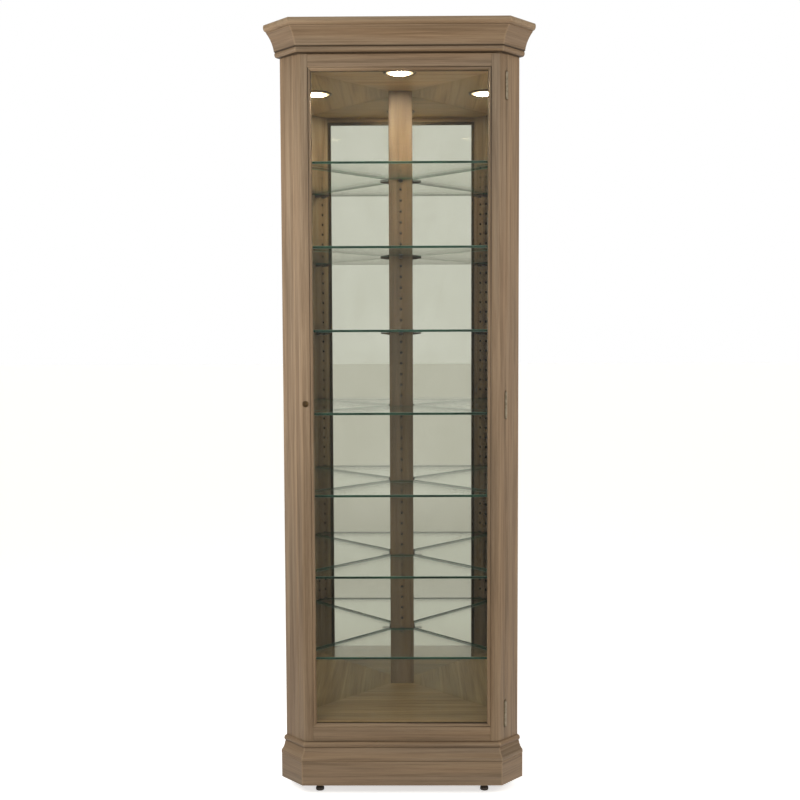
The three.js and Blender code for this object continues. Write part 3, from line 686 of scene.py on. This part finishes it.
def painted_lit_inner_face(board):
    """The right panel, with painted light on its inner face, which is paler than the rest."""
    layer = board.verts.layers.float["wear_and_painted_light"]
    skin = 0.4
    for vertex in board.verts:
        x, y = vertex.co.x / MM, (vertex.co.y - DOOR_FACE) / MM
        if y - x > INNER_RISE - skin:
            vertex[layer] = 1.0
    return board


def lock_recesses():
    """Room for the lock's cam and nut in the left panel's front edge, and the strike plate's seat."""
    face = CASE_FRONT - 1
    return [
        block(LOCK_X - 23, LOCK_X + 14, face, CASE_FRONT + 5.8, LOCK_Z - 14, LOCK_Z + 22),
        block(LOCK_X - 24.3, LOCK_X - 8, face, CASE_FRONT + 0.8, LOCK_Z - 28.8, LOCK_Z + 35.8),
    ]


def side_panel(word, side):
    shoulder = MIRROR_SUM - GAP * ROOT2
    outline = [
        (side * (CASE_FRONT - OUTER_RISE), CASE_FRONT),
        slant(WALL_SUM, OUTER_RISE, side),
        slant(WALL_SUM, LIP_RISE, side),
        slant(shoulder, LIP_RISE, side),
        slant(shoulder, INNER_RISE, side),
        (side * (CASE_FRONT - INNER_RISE), CASE_FRONT),
    ]
    tools = [drill_column(*hole_point(along, side), inward_normal(side)) for along in HOLE_COLUMNS.values()]
    board = prism(outline, CASE_BOTTOM, CASE_TOP)
    if side > 0:
        tools += hinge_recesses("case")
        # painted light on the right panel's inner face
        board = painted_lit_inner_face(board)
    else:
        tools += lock_recesses()
    stand_in(f"{word}_side_panel", cut(board, tools), [CASE_WOOD["upright"], BORE_PAINTED_SHADE])


def hinge_grooves():
    """The grooves that the hinge barrels lie in, in the door and the case."""
    grooves = []
    for name in HINGES:
        low, high = [corner.z for corner in span(f"hinge_pin_{name}")]
        profile = [(0, low - 1.6), (4.1, low - 1.6), (4.1, high + 1.6), (0, high + 1.6)]
        grooves.append(turned_at(profile, 32, HINGE_X, HINGE_Y, 0))
    return together(grooves)


LEAF_THICK = 1.5
LEAF_PLANES = {
    "case": (CASE_FRONT - 0.4, CASE_FRONT - 0.4 + LEAF_THICK),
    "door": (DOOR_THICK - 1, DOOR_THICK - 1 + LEAF_THICK),
}


def leaf_recess(name, of):
    """The recess that lets a hinge leaf into the wood, open on the side where door and case meet."""
    low, high = span(f"hinge_{of}_leaf_{name}")
    front, back = LEAF_PLANES[of]
    room_in_front, room_behind = (3, 0.1) if of == "case" else (0.1, 3)
    return block(low.x - GAP, HINGE_X - 2, front - room_in_front, back + room_behind,
                 low.z - GAP, high.z + GAP)


def hinge_recesses(of):
    return [hinge_grooves(), together([leaf_recess(name, of) for name in HINGES])]


for word, side in SIDES.items():
    side_panel(word, side)


def rear_post():
    right = [
        (POST_FACE_HALF, POST_FACE_Y),
        slant(BACK_SUM - GAP, POST_SIDE_RISE, 1),
        slant(BACK_SUM - GAP, POST_LAP_RISE, 1),
        slant(WALL_SUM, POST_LAP_RISE, 1),
        (WALL_SUM - POST_REAR, POST_REAR),
    ]
    board = prism(both_sides(right), CASE_BOTTOM, CASE_TOP)
    stand_in("rear_post", cut(board, [drill_column(0, POST_FACE_Y, (0, -1))]), [POST_WOOD_PAINTED_SHADE, BORE_PAINTED_SHADE])


rear_post()


# ---- mouldings ----
# paler along the mitres: the finish rubbed thin, and a painted highlight
MITRE_WEAR_AND_HIGHLIGHT = 0.75
MITRE_REACH = 3.5
SHADED_UNDERSIDE = 0.9  # what is less than this above a moulding's lowest edge gets painted shadow


def moulding_set(name, outline, radius, shaded_quirk=(0, 0), under=11):
    """A mitred moulding round the front and both returns, from a section of (out, height) points. The mitres
    are paler: the finish rubbed thin, and a painted highlight. Painted shadow lies on the underside, out to a
    given distance, and painted shade with glaze in the quirk, a given span of heights above the underside."""
    section, wear_and_painted_light = eased(outline, radius)
    level = section[0][1] + SHADED_UNDERSIDE
    wear_and_painted_light = [-1.0 if d < under and z < level or shaded_quirk[0] < z - level < shaded_quirk[1] else amount
            for (d, z), amount in zip(section, wear_and_painted_light)]
    rubbed_and_lit = [max(amount, MITRE_WEAR_AND_HIGHLIGHT) if amount >= 0 else amount for amount in wear_and_painted_light]
    ends = [(-1, GAP / 2), (-1, MITRE_REACH), (1, MITRE_REACH), (1, GAP / 2)]
    front = [[(*front_corner(d, side, -back), z) for d, z in section] for side, back in ends]
    stand_in(f"{name}_front", loft(front, [rubbed_and_lit, wear_and_painted_light, wear_and_painted_light, rubbed_and_lit]), CASE_WOOD["across"])
    for word, side in SIDES.items():
        mitre = [(*front_corner(d, side, GAP / 2), z) for d, z in section]
        step = MITRE_REACH / ROOT2
        rings = [
            mitre,
            [(x + side * step, y + step, z) for x, y, z in mitre],
            [(*wall_corner(d, side), z) for d, z in section],
        ]
        stand_in(f"{name}_{word}", loft(rings, [rubbed_and_lit, wear_and_painted_light, wear_and_painted_light]), CASE_WOOD[word])


def raised(section, z):
    return [(d + GAP, height + z) for d, height in section]


CROWN_BOTTOM = span("crown_front")[0].z
CROWN_HEIGHT = span("crown_front")[1].z - CROWN_BOTTOM
CROWN = raised([
    (0, 0),
    *bow((10.5, 0.3), (14.2, 12.4), 3.4, 12),
    (17.3, 13.6),
    *bow((17.8, 16.4), (40.5, 54), -3.6, 20),
    (40.5, CROWN_HEIGHT),
    (0, CROWN_HEIGHT),
], CROWN_BOTTOM)

BASE_BOTTOM = span("base_moulding_front")[0].z
BASE_HEIGHT = span("base_moulding_front")[1].z - BASE_BOTTOM
BASE = raised([
    (0, 0),
    (15.1, 0),
    (16.7, 1.6),
    (16.7, 8.8),
    *bow((16.1, 10.4), (5.4, 26.5), -1.8, 14),
    (4.0, 30.5),
    *bow((3.3, 31.6), (3.3, 44.4), 4.4, 12),
    (0, BASE_HEIGHT),
], BASE_BOTTOM)

skirt_low, skirt_high = span("skirt_front")
SKIRT_OUT = -skirt_low.y
SKIRT = [(GAP, skirt_low.z), (SKIRT_OUT, skirt_low.z), (SKIRT_OUT, skirt_high.z), (GAP, skirt_high.z)]

moulding_set("crown", CROWN, 0.5, shaded_quirk=(11.0, 13.2))
moulding_set("base_moulding", BASE, 0.5, shaded_quirk=(29.9, 31.2), under=16)
moulding_set("skirt", SKIRT, 1.2)

CAP_PALENESS = 0.45  # the cap is a little paler all over


def crown_cap():
    """The top board of the crown, with a rounded nose round the front and returns."""
    low, high = span("crown_cap")
    out = -low.y
    nose = flowing([(-7.5, 0), (-2.8, 2.3), (0, 7.7), (-0.5, 12.9), (-1.9, high.z - low.z)], 5)
    rings = []
    for d, z in nose:
        right = [front_corner(out + d, 1), wall_corner(out + d, 1), (WALL_SUM - POST_REAR, POST_REAR)]
        rings.append([(x, y, low.z + z) for x, y in both_sides(right)])
    wear_and_painted_light = [[CAP_PALENESS] * len(rings[0])] * len(rings)
    stand_in("crown_cap", loft(rings, wear_and_painted_light), CASE_WOOD["across"])


crown_cap()


# ---- the door ----
# The moulded inner edge's section, out from the opening and back from the door's face: a lip at the
# glass, a bead, and a quirk that parts it from the flat of the frame.
STICKING_OUTLINE = [
    (0, 7.6),
    (0, 5.6),
    (1.5, 5.2),
    (2.0, 3.9),
    *bow((2.2, 3.6), (7.3, 1.3), 1.0, 8),
    (7.7, 2.7),
    (STICKING, 2.7),
    (STICKING, 7.6),
]


def sticking_section():
    """The section's points and their wear and painted light: the whole section a little darker, and painted
    shade, full, in the quirk and along the lip where they lie deeper."""
    points = eased(STICKING_OUTLINE, 0.3)[0]
    lip, shaded_quirk, depth = 2.1, 7.5, 2
    return points, [-1.0 if (u > shaded_quirk or u < lip) and v > depth else -0.25 for u, v in points]


def stile(word, side, tools):
    edge = SIGHT_HALF + STICKING
    plan = [(edge, 0), (FRONT_HALF, 0), (FRONT_HALF + DOOR_THICK, DOOR_THICK), (edge, DOOR_THICK)]
    # the wide arris where the front meets the return is paler, a painted highlight with the rubbed finish,
    # toned down to 0.3
    body = prism([(side * x, y) for x, y in plan], DOOR_BOTTOM, DOOR_TOP, [0.7, 7.0, 0.8, 0.8], 0.3)
    section, wear_and_painted_light = sticking_section()
    ends = [
        [(side * (SIGHT_HALF + u), v, SIGHT_BOTTOM - u + GAP / 2) for u, v in section],
        [(side * (SIGHT_HALF + u), v, SIGHT_TOP + u - GAP / 2) for u, v in section],
    ]
    stand_in(f"door_{word}_stile", cut(join(body, [loft(ends, wear_and_painted_light)]), tools), CASE_WOOD["upright"])


def door_rail(word, z0, z1, sight, outward):
    half = SIGHT_HALF + STICKING - GAP
    outline, body_wear_and_painted_light = eased([(0, z0), (DOOR_THICK, z0), (DOOR_THICK, z1), (0, z1)], 0.8)
    body = loft([[(x, y, z) for y, z in outline] for x in (-half, half)], body_wear_and_painted_light)
    section, wear_and_painted_light = sticking_section()
    ends = [[(end * (SIGHT_HALF + u - GAP), v, sight + outward * u) for u, v in section] for end in (-1, 1)]
    stand_in(f"door_{word}_rail", join(body, [loft(ends, wear_and_painted_light)]), CASE_WOOD["across"])


def in_lock(profile, sides, y=0):
    """A turned body on the lock's axis, its heights measured back from y."""
    return turned_at(profile, sides, LOCK_X, y, LOCK_Z, "Y")


stile("left", -1, [in_lock([(0, -20), (6.9, -20), (6.9, 20), (0, 20)], 40, DOOR_THICK / 2)])
stile("right", 1, hinge_recesses("door"))
door_rail("top", SIGHT_TOP + STICKING, DOOR_TOP, SIGHT_TOP, 1)
door_rail("bottom", DOOR_BOTTOM, SIGHT_BOTTOM - STICKING, SIGHT_BOTTOM, -1)


EDGE_AREA = 0.02  # square metres: a sheet's edge faces are smaller than this and its faces larger


def sheet_of_glass(name, outline, low, high, glass, upright=False):
    """A flat sheet with ground arrises and polished edges. upright sheets stand in the door."""
    ease = 0.7
    # the arrises are marked 1: lighter ground glass with a painted highlight
    steps = [(low, ease, 1.0), (low + ease, 0, 0.0), (high - ease, 0, 0.0), (high, ease, 1.0)]
    rings, wear_and_painted_light_rings = [], []
    for level, amount, wear_and_painted_light in steps:
        ring = inset(outline, amount)
        rings.append([(u, level, v) if upright else (u, v, level) for u, v in ring])
        wear_and_painted_light_rings.append([wear_and_painted_light] * len(ring))
    bm = loft(rings, wear_and_painted_light_rings)
    for face in bm.faces:
        face.material_index = 1 if len(face.verts) == 4 and face.calc_area() < EDGE_AREA else 0
    stand_in(name, bm, [glass, GLASS_EDGE], sharp=20)


def pane():
    low, high = span("door_glass")
    outline = [(low.x, low.z), (high.x, low.z), (high.x, high.z), (low.x, high.z)]
    sheet_of_glass("door_glass", outline, low.y, high.y, PANE, upright=True)


pane()


# ---- shelves and their clips ----
def shelf_outline():
    side = INNER_RISE + 3.4 * ROOT2
    back = MIRROR_SUM - 2 * ROOT2
    rear = POST_FACE_Y - 3.4
    front = span("shelf_1")[0].y
    corners = both_sides([(front - side, front), slant(back, side, 1), (back - rear, rear)])
    return eased(corners, 2.5, 3)[0]


def clip_body():
    """An L of pressed metal with a pin behind, made about the pin's axis with +Y out from the wall."""
    thick, width = 2.5, 10.0
    under = -PIN_ABOVE_GLASS - GAP
    outline, wear_and_painted_light = eased([
        (GAP, 5), (GAP + thick, 5), (GAP + thick, under), (24, under), (24, under - 3),
        (GAP + thick, under - 6), (GAP, under - 6)], 0.7, 3)
    rings = [[(x, y, z) for y, z in outline] for x in (-width / 2, width / 2)]
    body = moved(loft(rings, wear_and_painted_light), Matrix.Translation(-place(0, 0, 0)))
    pin = lathe([(0, -8), (1.9, -8), (2.3, -7.4), (2.3, 1.4), (0, 1.4)], 20)
    return join(body, [moved(pin, Matrix.Rotation(-math.pi / 2, 4, "X"))])


def clips(index, name):
    """The five clips under one shelf."""
    pin_z = span(name)[0].z + PIN_ABOVE_GLASS
    spots = {"post": (0, POST_FACE_Y, (0, -1))}
    for word, side in SIDES.items():
        for where, along in HOLE_COLUMNS.items():
            spots[f"{word}_{where}"] = (*hole_point(along, side), inward_normal(side))
    for spot, (x, y, normal) in spots.items():
        turn = math.atan2(normal[1], normal[0]) - math.pi / 2
        body = moved(copy_of(CLIP_MESH), at(x, y, pin_z, turn=turn))
        piece(f"shelf_clip_{index}_{spot}", body, CLIP, "cabinet")


CLIP_MESH = to_mesh(clip_body(), "clip")
OUTLINE = shelf_outline()
for number, shelf in enumerate(SHELVES, 1):
    sheet_of_glass(shelf, OUTLINE, span(shelf)[0].z, span(shelf)[1].z, SHELF)
    clips(number, shelf)


# ---- fittings ----
def screw_head(radius):
    """A countersunk head with a cross recess, its face at z = 0."""
    head = lathe([(0, -0.6 * radius), (0.5 * radius, -0.6 * radius), (0.97 * radius, -0.1), (radius, 0.05),
                  (0.9 * radius, 0.2), (0, 0.34)], 24)
    long, short = 0.55 * radius * MM, 0.13 * radius * MM
    slots = []
    for a, b in ((long, short), (short, long)):
        slot = bmesh.new()
        bmesh.ops.create_cube(slot, size=2, matrix=Matrix.Diagonal((a, b, 0.5 * MM, 1)))
        slots.append(slot)
    return cut(head, slots)


def screws(name, radius, spots, facing, look, body):
    """Screw heads at the given places, as one piece."""
    template = to_mesh(screw_head(radius), "screw")
    heads = []
    for i, spot in enumerate(spots):
        heads.append(moved(copy_of(template), at(*spot, facing, 0.9 * i)))
    bpy.data.meshes.remove(template)
    piece(name, together(heads), look, body)


def rounded_plate(x0, x1, z0, z1, front, back, radius):
    """An upright plate across the door, with rounded corners and softened edges."""
    outline = [(x0, z0), (x1, z0), (x1, z1), (x0, z1)]
    points = eased(outline, radius, 5)[0]
    rings = []
    for y, amount in ((front, 0.25), (front + 0.25, 0), (back - 0.25, 0), (back, 0.25)):
        rings.append([(x, y, z) for x, z in inset(points, amount)])
    return loft(rings)


def knuckle(z0, z1):
    """One turned knuckle of the hinge barrel."""
    profile = [(1.75, z0), (3.2, z0), (3.5, z0 + 0.3), (3.5, z1 - 0.3), (3.2, z1), (1.75, z1)]
    return turned_at(profile, 36, HINGE_X, HINGE_Y, 0)


LEAF_HALF = 31  # half a hinge leaf's height
KNUCKLES = {"case": [(-LEAF_HALF, -11), (11, LEAF_HALF)], "door": [(-11 + GAP, 11 - GAP)]}


def hinge(name):
    pin_low, pin_high = span(f"hinge_pin_{name}")
    centre = (pin_low.z + pin_high.z) / 2
    for of, body in (("case", "cabinet"), ("door", "door")):
        front, back = LEAF_PLANES[of]
        inner, outer = HINGE_X - 19, HINGE_X - 4
        plate = rounded_plate(inner, outer, centre - LEAF_HALF, centre + LEAF_HALF, front, back, 2.0)
        parts = []
        for low, high in KNUCKLES[of]:
            low, high = centre + low, centre + high
            parts.append(block(outer - 1, HINGE_X - 2.6, front + 0.02, back - 0.02, low, high))
            parts.append(knuckle(low, high))
        stand_in(f"hinge_{of}_leaf_{name}", join(plate, parts), NICKEL)
        facing, face = ("-Y", front) if of == "case" else ("Y", back)
        spots = [(HINGE_X - 12, face, centre + step) for step in (-21, 0, 21)]
        screws(f"hinge_{of}_screws_{name}", 3.1, spots, facing, NICKEL, body)
    tip = LEAF_HALF + GAP
    half = [(0, tip + 2.4), (1.2, tip + 2.25), (2.2, tip + 1.8), (3.0, tip + 0.9), (3.2, tip + 0.3),
            (3.1, tip), (1.6, tip)]
    profile = half + [(r, -z) for r, z in reversed(half)]
    stand_in(f"hinge_pin_{name}", turned_at(profile, 32, HINGE_X, HINGE_Y, centre), NICKEL)


for hinge_name in HINGES:
    hinge(hinge_name)


def plate_of(node, radius):
    low, high = span(node)
    return rounded_plate(low.x, high.x, low.z, high.z, low.y, high.y, radius)


def lock():
    """A cam lock: bronze body and plug in the door's left stile, with a steel nut and cam behind."""
    plug_back = 18.2
    nut_front, nut_back = DOOR_THICK + GAP, plug_back - GAP
    housing = in_lock([(4.9, -2.2), (5.2, -2.45), (6.9, -2.45), (7.5, -2.1), (7.7, -1.5), (7.7, -GAP),
                       (6.4, -GAP), (6.4, nut_back), (4.9, nut_back)], 56)
    stand_in("lock_housing", housing, BRONZE)
    plug = in_lock([(0, -2.75), (3.7, -2.75), (4.3, -2.5), (4.5, -2.1), (4.5, plug_back), (2.4, plug_back),
                    (2.4, plug_back + 2.9), (2.1, plug_back + 3.2), (0, plug_back + 3.2)], 48)
    keyway = block(LOCK_X - 0.7, LOCK_X + 0.7, -4, 5, LOCK_Z - 2.8, LOCK_Z + 2.8)
    stand_in("lock_plug", cut(plug, [keyway]), BRONZE)
    nut = in_lock([(0, nut_front), (8.2, nut_front), (8.6, nut_front + 0.3), (8.6, nut_back - 0.3),
                   (8.2, nut_back), (0, nut_back)], 6)
    bore = in_lock([(0, 10), (6.75, 10), (6.75, 25), (0, 25)], 40)
    stand_in("lock_nut", cut(nut, [bore]), ZINC, sharp=25)
    bore = in_lock([(0, 10), (2.7, 10), (2.7, 25), (0, 25)], 32)
    stand_in("lock_cam", cut(plate_of("lock_cam", 3.3), [bore]), ZINC)
    stand_in("strike_plate", plate_of("strike_plate", 3.5), ZINC)
    spots = [(LOCK_X - 16.6, span("strike_plate")[0].y, LOCK_Z + step) for step in (-22, 28)]
    screws("strike_screws", 3.1, spots, "-Y", ZINC, "cabinet")


lock()


def ceiling_light():
    """A recessed puck light: a bronze trim ring round a domed frosted lens."""
    high = span("light_lens")[1].z
    dome = [(r, CEILING - z) for r, z in flowing(
        [(0, 4.2), (13, 4.0), (23, 3.4), (30, 2.6), (LENS_RADIUS, 1.6)], 5)]
    dome += [(LENS_RADIUS, high), (0, high)]
    stand_in("light_lens", turned_at(dome, 64, 0, LIGHT_Y, 0), LENS)
    r, z = LENS_RADIUS, CEILING
    ring = [(r + 0.4, z - GAP), (r + 0.4, z - 2.5), *bow((r + 0.7, z - 3.1), (r + 7.2, z - 1.9), 0.7, 10),
            (r + 7.6, z - 1.2), (r + 7.6, z - GAP)]
    stand_in("light_trim", turned_at(ring, 64, 0, LIGHT_Y, 0), TRIM)


ceiling_light()


def foot(name):
    """A levelling foot: a rounded pad under a threaded stem."""
    low, high = span(name)
    x, y = (low.x + high.x) / 2, (low.y + high.y) / 2
    stem, pitch = 3.9, 1.25
    thread = []
    level = 11.4  # where the thread starts
    while level < high.z - 1:
        thread += [(stem - 0.5, level), (stem, level + pitch / 2)]
        level += pitch
    pad = [(0, 0), (9.2, 0), (10.2, 0.5), (10.6, 1.6), (10.6, 5.4), (10.2, 6.6), (8.2, 8.8), (5.2, 10.2),
           (stem, 10.6)]
    profile = [*pad, *thread, (stem - 0.8, high.z), (0, high.z)]
    stand_in(name, turned_at(profile, 40, x, y, 0), FOOT, sharp=30)


for node in sorted(frame["nodes"]):
    if node.startswith("levelling_foot_"):
        foot(node)


def back_screws():
    """Screws along the long edges of each back panel."""
    panel_thick = 4.8
    back_face = BACK_SUM + panel_thick * ROOT2
    rows, first, margins = 9, 70, 110
    for word, side in SIDES.items():
        spots = [
            (*slant(back_face, rise, side), first + k * (CASE_TOP - margins) / (rows - 1))
            for rise in (LIP_RISE + 12, POST_LAP_RISE - 9) for k in range(rows)]
        screws(f"{word}_back_screws", 3.2, spots, f"{word} wall", ZINC, "cabinet")


back_screws()


# ---- the CAD nodes that stay ----
KEPT_LOOKS = {
    "case_wood": CASE_WOOD["across"],
    "inner_wood": INNER_WOOD,
    "back_plywood": PLYWOOD,
    "mirror_glass": MIRROR,
    "light_metal": ENAMEL,
    "light_lens": LENS,
    "black_rubber": RUBBER,
}
for node, slot in SLOTS.items():
    kept = frame["nodes"][node]
    if not kept.hide_render:
        kept.data.materials.clear()
        # the glazing frame takes the painted shade wood
        kept.data.materials.append(FRAME_WOOD_PAINTED_SHADE if node == "glazing_frame" else KEPT_LOOKS[slot])

# ---- camera, light and floor ----
CAMERA_PLACE = (0.0170, -2.6897, 1.1405)
CAMERA_YAW, CAMERA_PITCH, CAMERA_ROLL = -0.00725, 0.06115, -0.00385
CAMERA_LENS = 46.85


def camera():
    data = bpy.data.cameras.new("camera")
    data.lens = CAMERA_LENS
    data.sensor_width = 36
    forward = Vector((math.sin(CAMERA_YAW) * math.cos(CAMERA_PITCH),
                      math.cos(CAMERA_YAW) * math.cos(CAMERA_PITCH), -math.sin(CAMERA_PITCH)))
    level = Vector((math.cos(CAMERA_YAW), -math.sin(CAMERA_YAW), 0))
    up = level.cross(forward)
    right = math.cos(CAMERA_ROLL) * level + math.sin(CAMERA_ROLL) * up
    top = -math.sin(CAMERA_ROLL) * level + math.cos(CAMERA_ROLL) * up
    obj = bpy.data.objects.new("camera", data)
    obj.matrix_world = Matrix.Translation(CAMERA_PLACE) @ Matrix((right, top, -forward)).transposed().to_4x4()
    bpy.context.scene.collection.objects.link(obj)
    bpy.context.scene.camera = obj


LIGHTS = {  # place, aim, size, watts and colour
    "key": ((-0.7, -1.0, 1.30), (0, 0, 1.2), (0.8, 0.8), 6, (1.0, 0.98, 0.95)),
    "window": ((-1.6, -0.3, 1.35), (0, 0, 1.25), (1.0, 1.0), 13, (1.0, 0.98, 0.95)),
    "fill": ((1.75, -0.25, 1.35), (0, 0, 1.2), (1.2, 1.2), 15.5, (1.0, 0.96, 0.92)),
    "overhead": ((0, -0.9, 2.75), (0, 0, 1.9), (1.2, 0.6), 2.8, (0.4, 0.75, 1.0)),
}


def soft_light(name, place_at, towards, size, watts, colour):
    """A soft panel of light, not seen in the mirrors and the glass."""
    data = bpy.data.lights.new(name, "AREA")
    data.shape = "RECTANGLE"
    data.size, data.size_y = size
    data.energy = watts
    data.color = colour
    obj = bpy.data.objects.new(name, data)
    obj.location = place_at
    obj.rotation_euler = (Vector(towards) - Vector(place_at)).to_track_quat("-Z", "Y").to_euler()
    obj.visible_glossy = False
    bpy.context.scene.collection.objects.link(obj)


FLOOR_HALF = 40.0
FLOOR_GLOW = 0.58  # brings the pale floor up to white
HORIZON_GLOW = 0.29  # brings the far floor up to the studio's wall


def floor():
    """A pale floor. The mirrors see it duller in front of the cabinet than the camera does. It throws no
    light up at the cabinet; the studio's lower half stands in for that."""
    look = Look("pale_floor", Specular_IOR_Level=0.2)
    where = look.place()
    clouds = look.noise(where, 3, 4)
    depth = look.add("SeparateXYZ", {0: where}, output=1)
    pale = look.blend(clouds, (0.945, 0.945, 0.945, 1), (0.965, 0.965, 0.965, 1))
    dim = look.blend(clouds, (0.60, 0.57, 0.51, 1), (0.66, 0.63, 0.57, 1))
    further = look.blend(clouds, (0.86, 0.85, 0.81, 1), (0.90, 0.89, 0.85, 1))
    mirrored = look.math("SUBTRACT", 1.0, look.add("LightPath"))
    near = look.math("MULTIPLY", look.window(depth, -0.22, -0.50), mirrored)
    front = look.blend(look.window(depth, -0.50, -1.10), dim, further)
    look.set("Base Color", look.blend(near, pale, front))
    far = look.math("MULTIPLY", look.window(depth, -0.8, -5.0), HORIZON_GLOW)
    far = look.math("MULTIPLY", far, mirrored)
    look.set("Emission Color", look.blend(near, (1, 1, 1, 1), (1.0, 0.98, 0.91, 1)))
    look.set("Emission Strength", look.math("ADD", look.spread(near, FLOOR_GLOW, 0.0), far))
    look.set("Roughness", look.spread(clouds, 0.7, 0.85))
    half = FLOOR_HALF
    bm = bmesh.new()
    bm.faces.new([bm.verts.new((x, y, 0)) for x, y in ((-half, -half), (half, -half), (half, half),
                                                       (-half, half))])
    obj = bpy.data.objects.new("floor", to_mesh(bm, "floor"))
    obj.data.materials.append(look.material)
    obj.visible_diffuse = False
    bpy.context.scene.collection.objects.link(obj)


WINDOW_BEARING = math.radians(24)  # of the big window, to the right of straight ahead
WINDOW_RISE = 0.1
WINDOW_EDGES = math.cos(math.radians(18)), math.cos(math.radians(12))  # where its light starts and is full
WINDOW_LIGHT = (4.4, 4.3, 4.0, 1)
ROOM_FRONT = (0.845, 0.825, 0.77)  # straight ahead of the cabinet
ROOM_DIM = (0.27, 0.245, 0.20)  # to the sides
ROOM_BELOW = (0.17, 0.12, 0.07, 1)
WHITE = (1, 1, 1)


def studio():
    """A white studio, dimmer and warmer on the side that the cabinet faces, with one big far window
    there, ahead and to the right, which the mirrors don't show to the camera. The camera itself sees
    plain white."""
    world = bpy.data.worlds.new("studio")
    bpy.context.scene.world = world
    sky = Shading(world)
    direction = sky.add("TexCoord")
    parts = sky.add("SeparateXYZ", {0: direction}).node.outputs
    depth = sky.add("Math", {0: parts["Y"], 1: 0.5, 2: 0.5}, operation="MULTIPLY_ADD")
    room = sky.ramp(depth, [(0.045, ROOM_FRONT), (0.11, ROOM_DIM), (0.62, ROOM_DIM), (0.92, WHITE)])
    aim = Vector((math.sin(WINDOW_BEARING), -math.cos(WINDOW_BEARING), WINDOW_RISE)).normalized()
    towards = sky.add("VectorMath", {0: direction, 1: aim}, output=1, operation="DOT_PRODUCT")
    lit = sky.blend(sky.window(towards, *WINDOW_EDGES), room, WINDOW_LIGHT)
    whole = sky.blend(sky.window(parts["Z"], -0.03, -0.14), lit, ROOM_BELOW)
    shown = sky.blend(sky.add("LightPath"), whole, (*WHITE, 1))
    background = sky.tree.nodes["Background"]
    sky.tree.links.new(shown, background.inputs["Color"])
    background.inputs["Strength"].default_value = 1.0


camera()
floor()
studio()
for light, settings in LIGHTS.items():
    soft_light(light, *settings)

scene = bpy.context.scene
scene.view_settings.view_transform = "Standard"
scene.cycles.max_bounces = 20
scene.cycles.diffuse_bounces = 5
scene.cycles.glossy_bounces = 12
scene.cycles.transparent_max_bounces = 64
scene.cycles.sample_clamp_indirect = 6.0
scene.cycles.use_denoising = True

for placeholder in PLACEHOLDERS:
    bpy.data.materials.remove(placeholder)
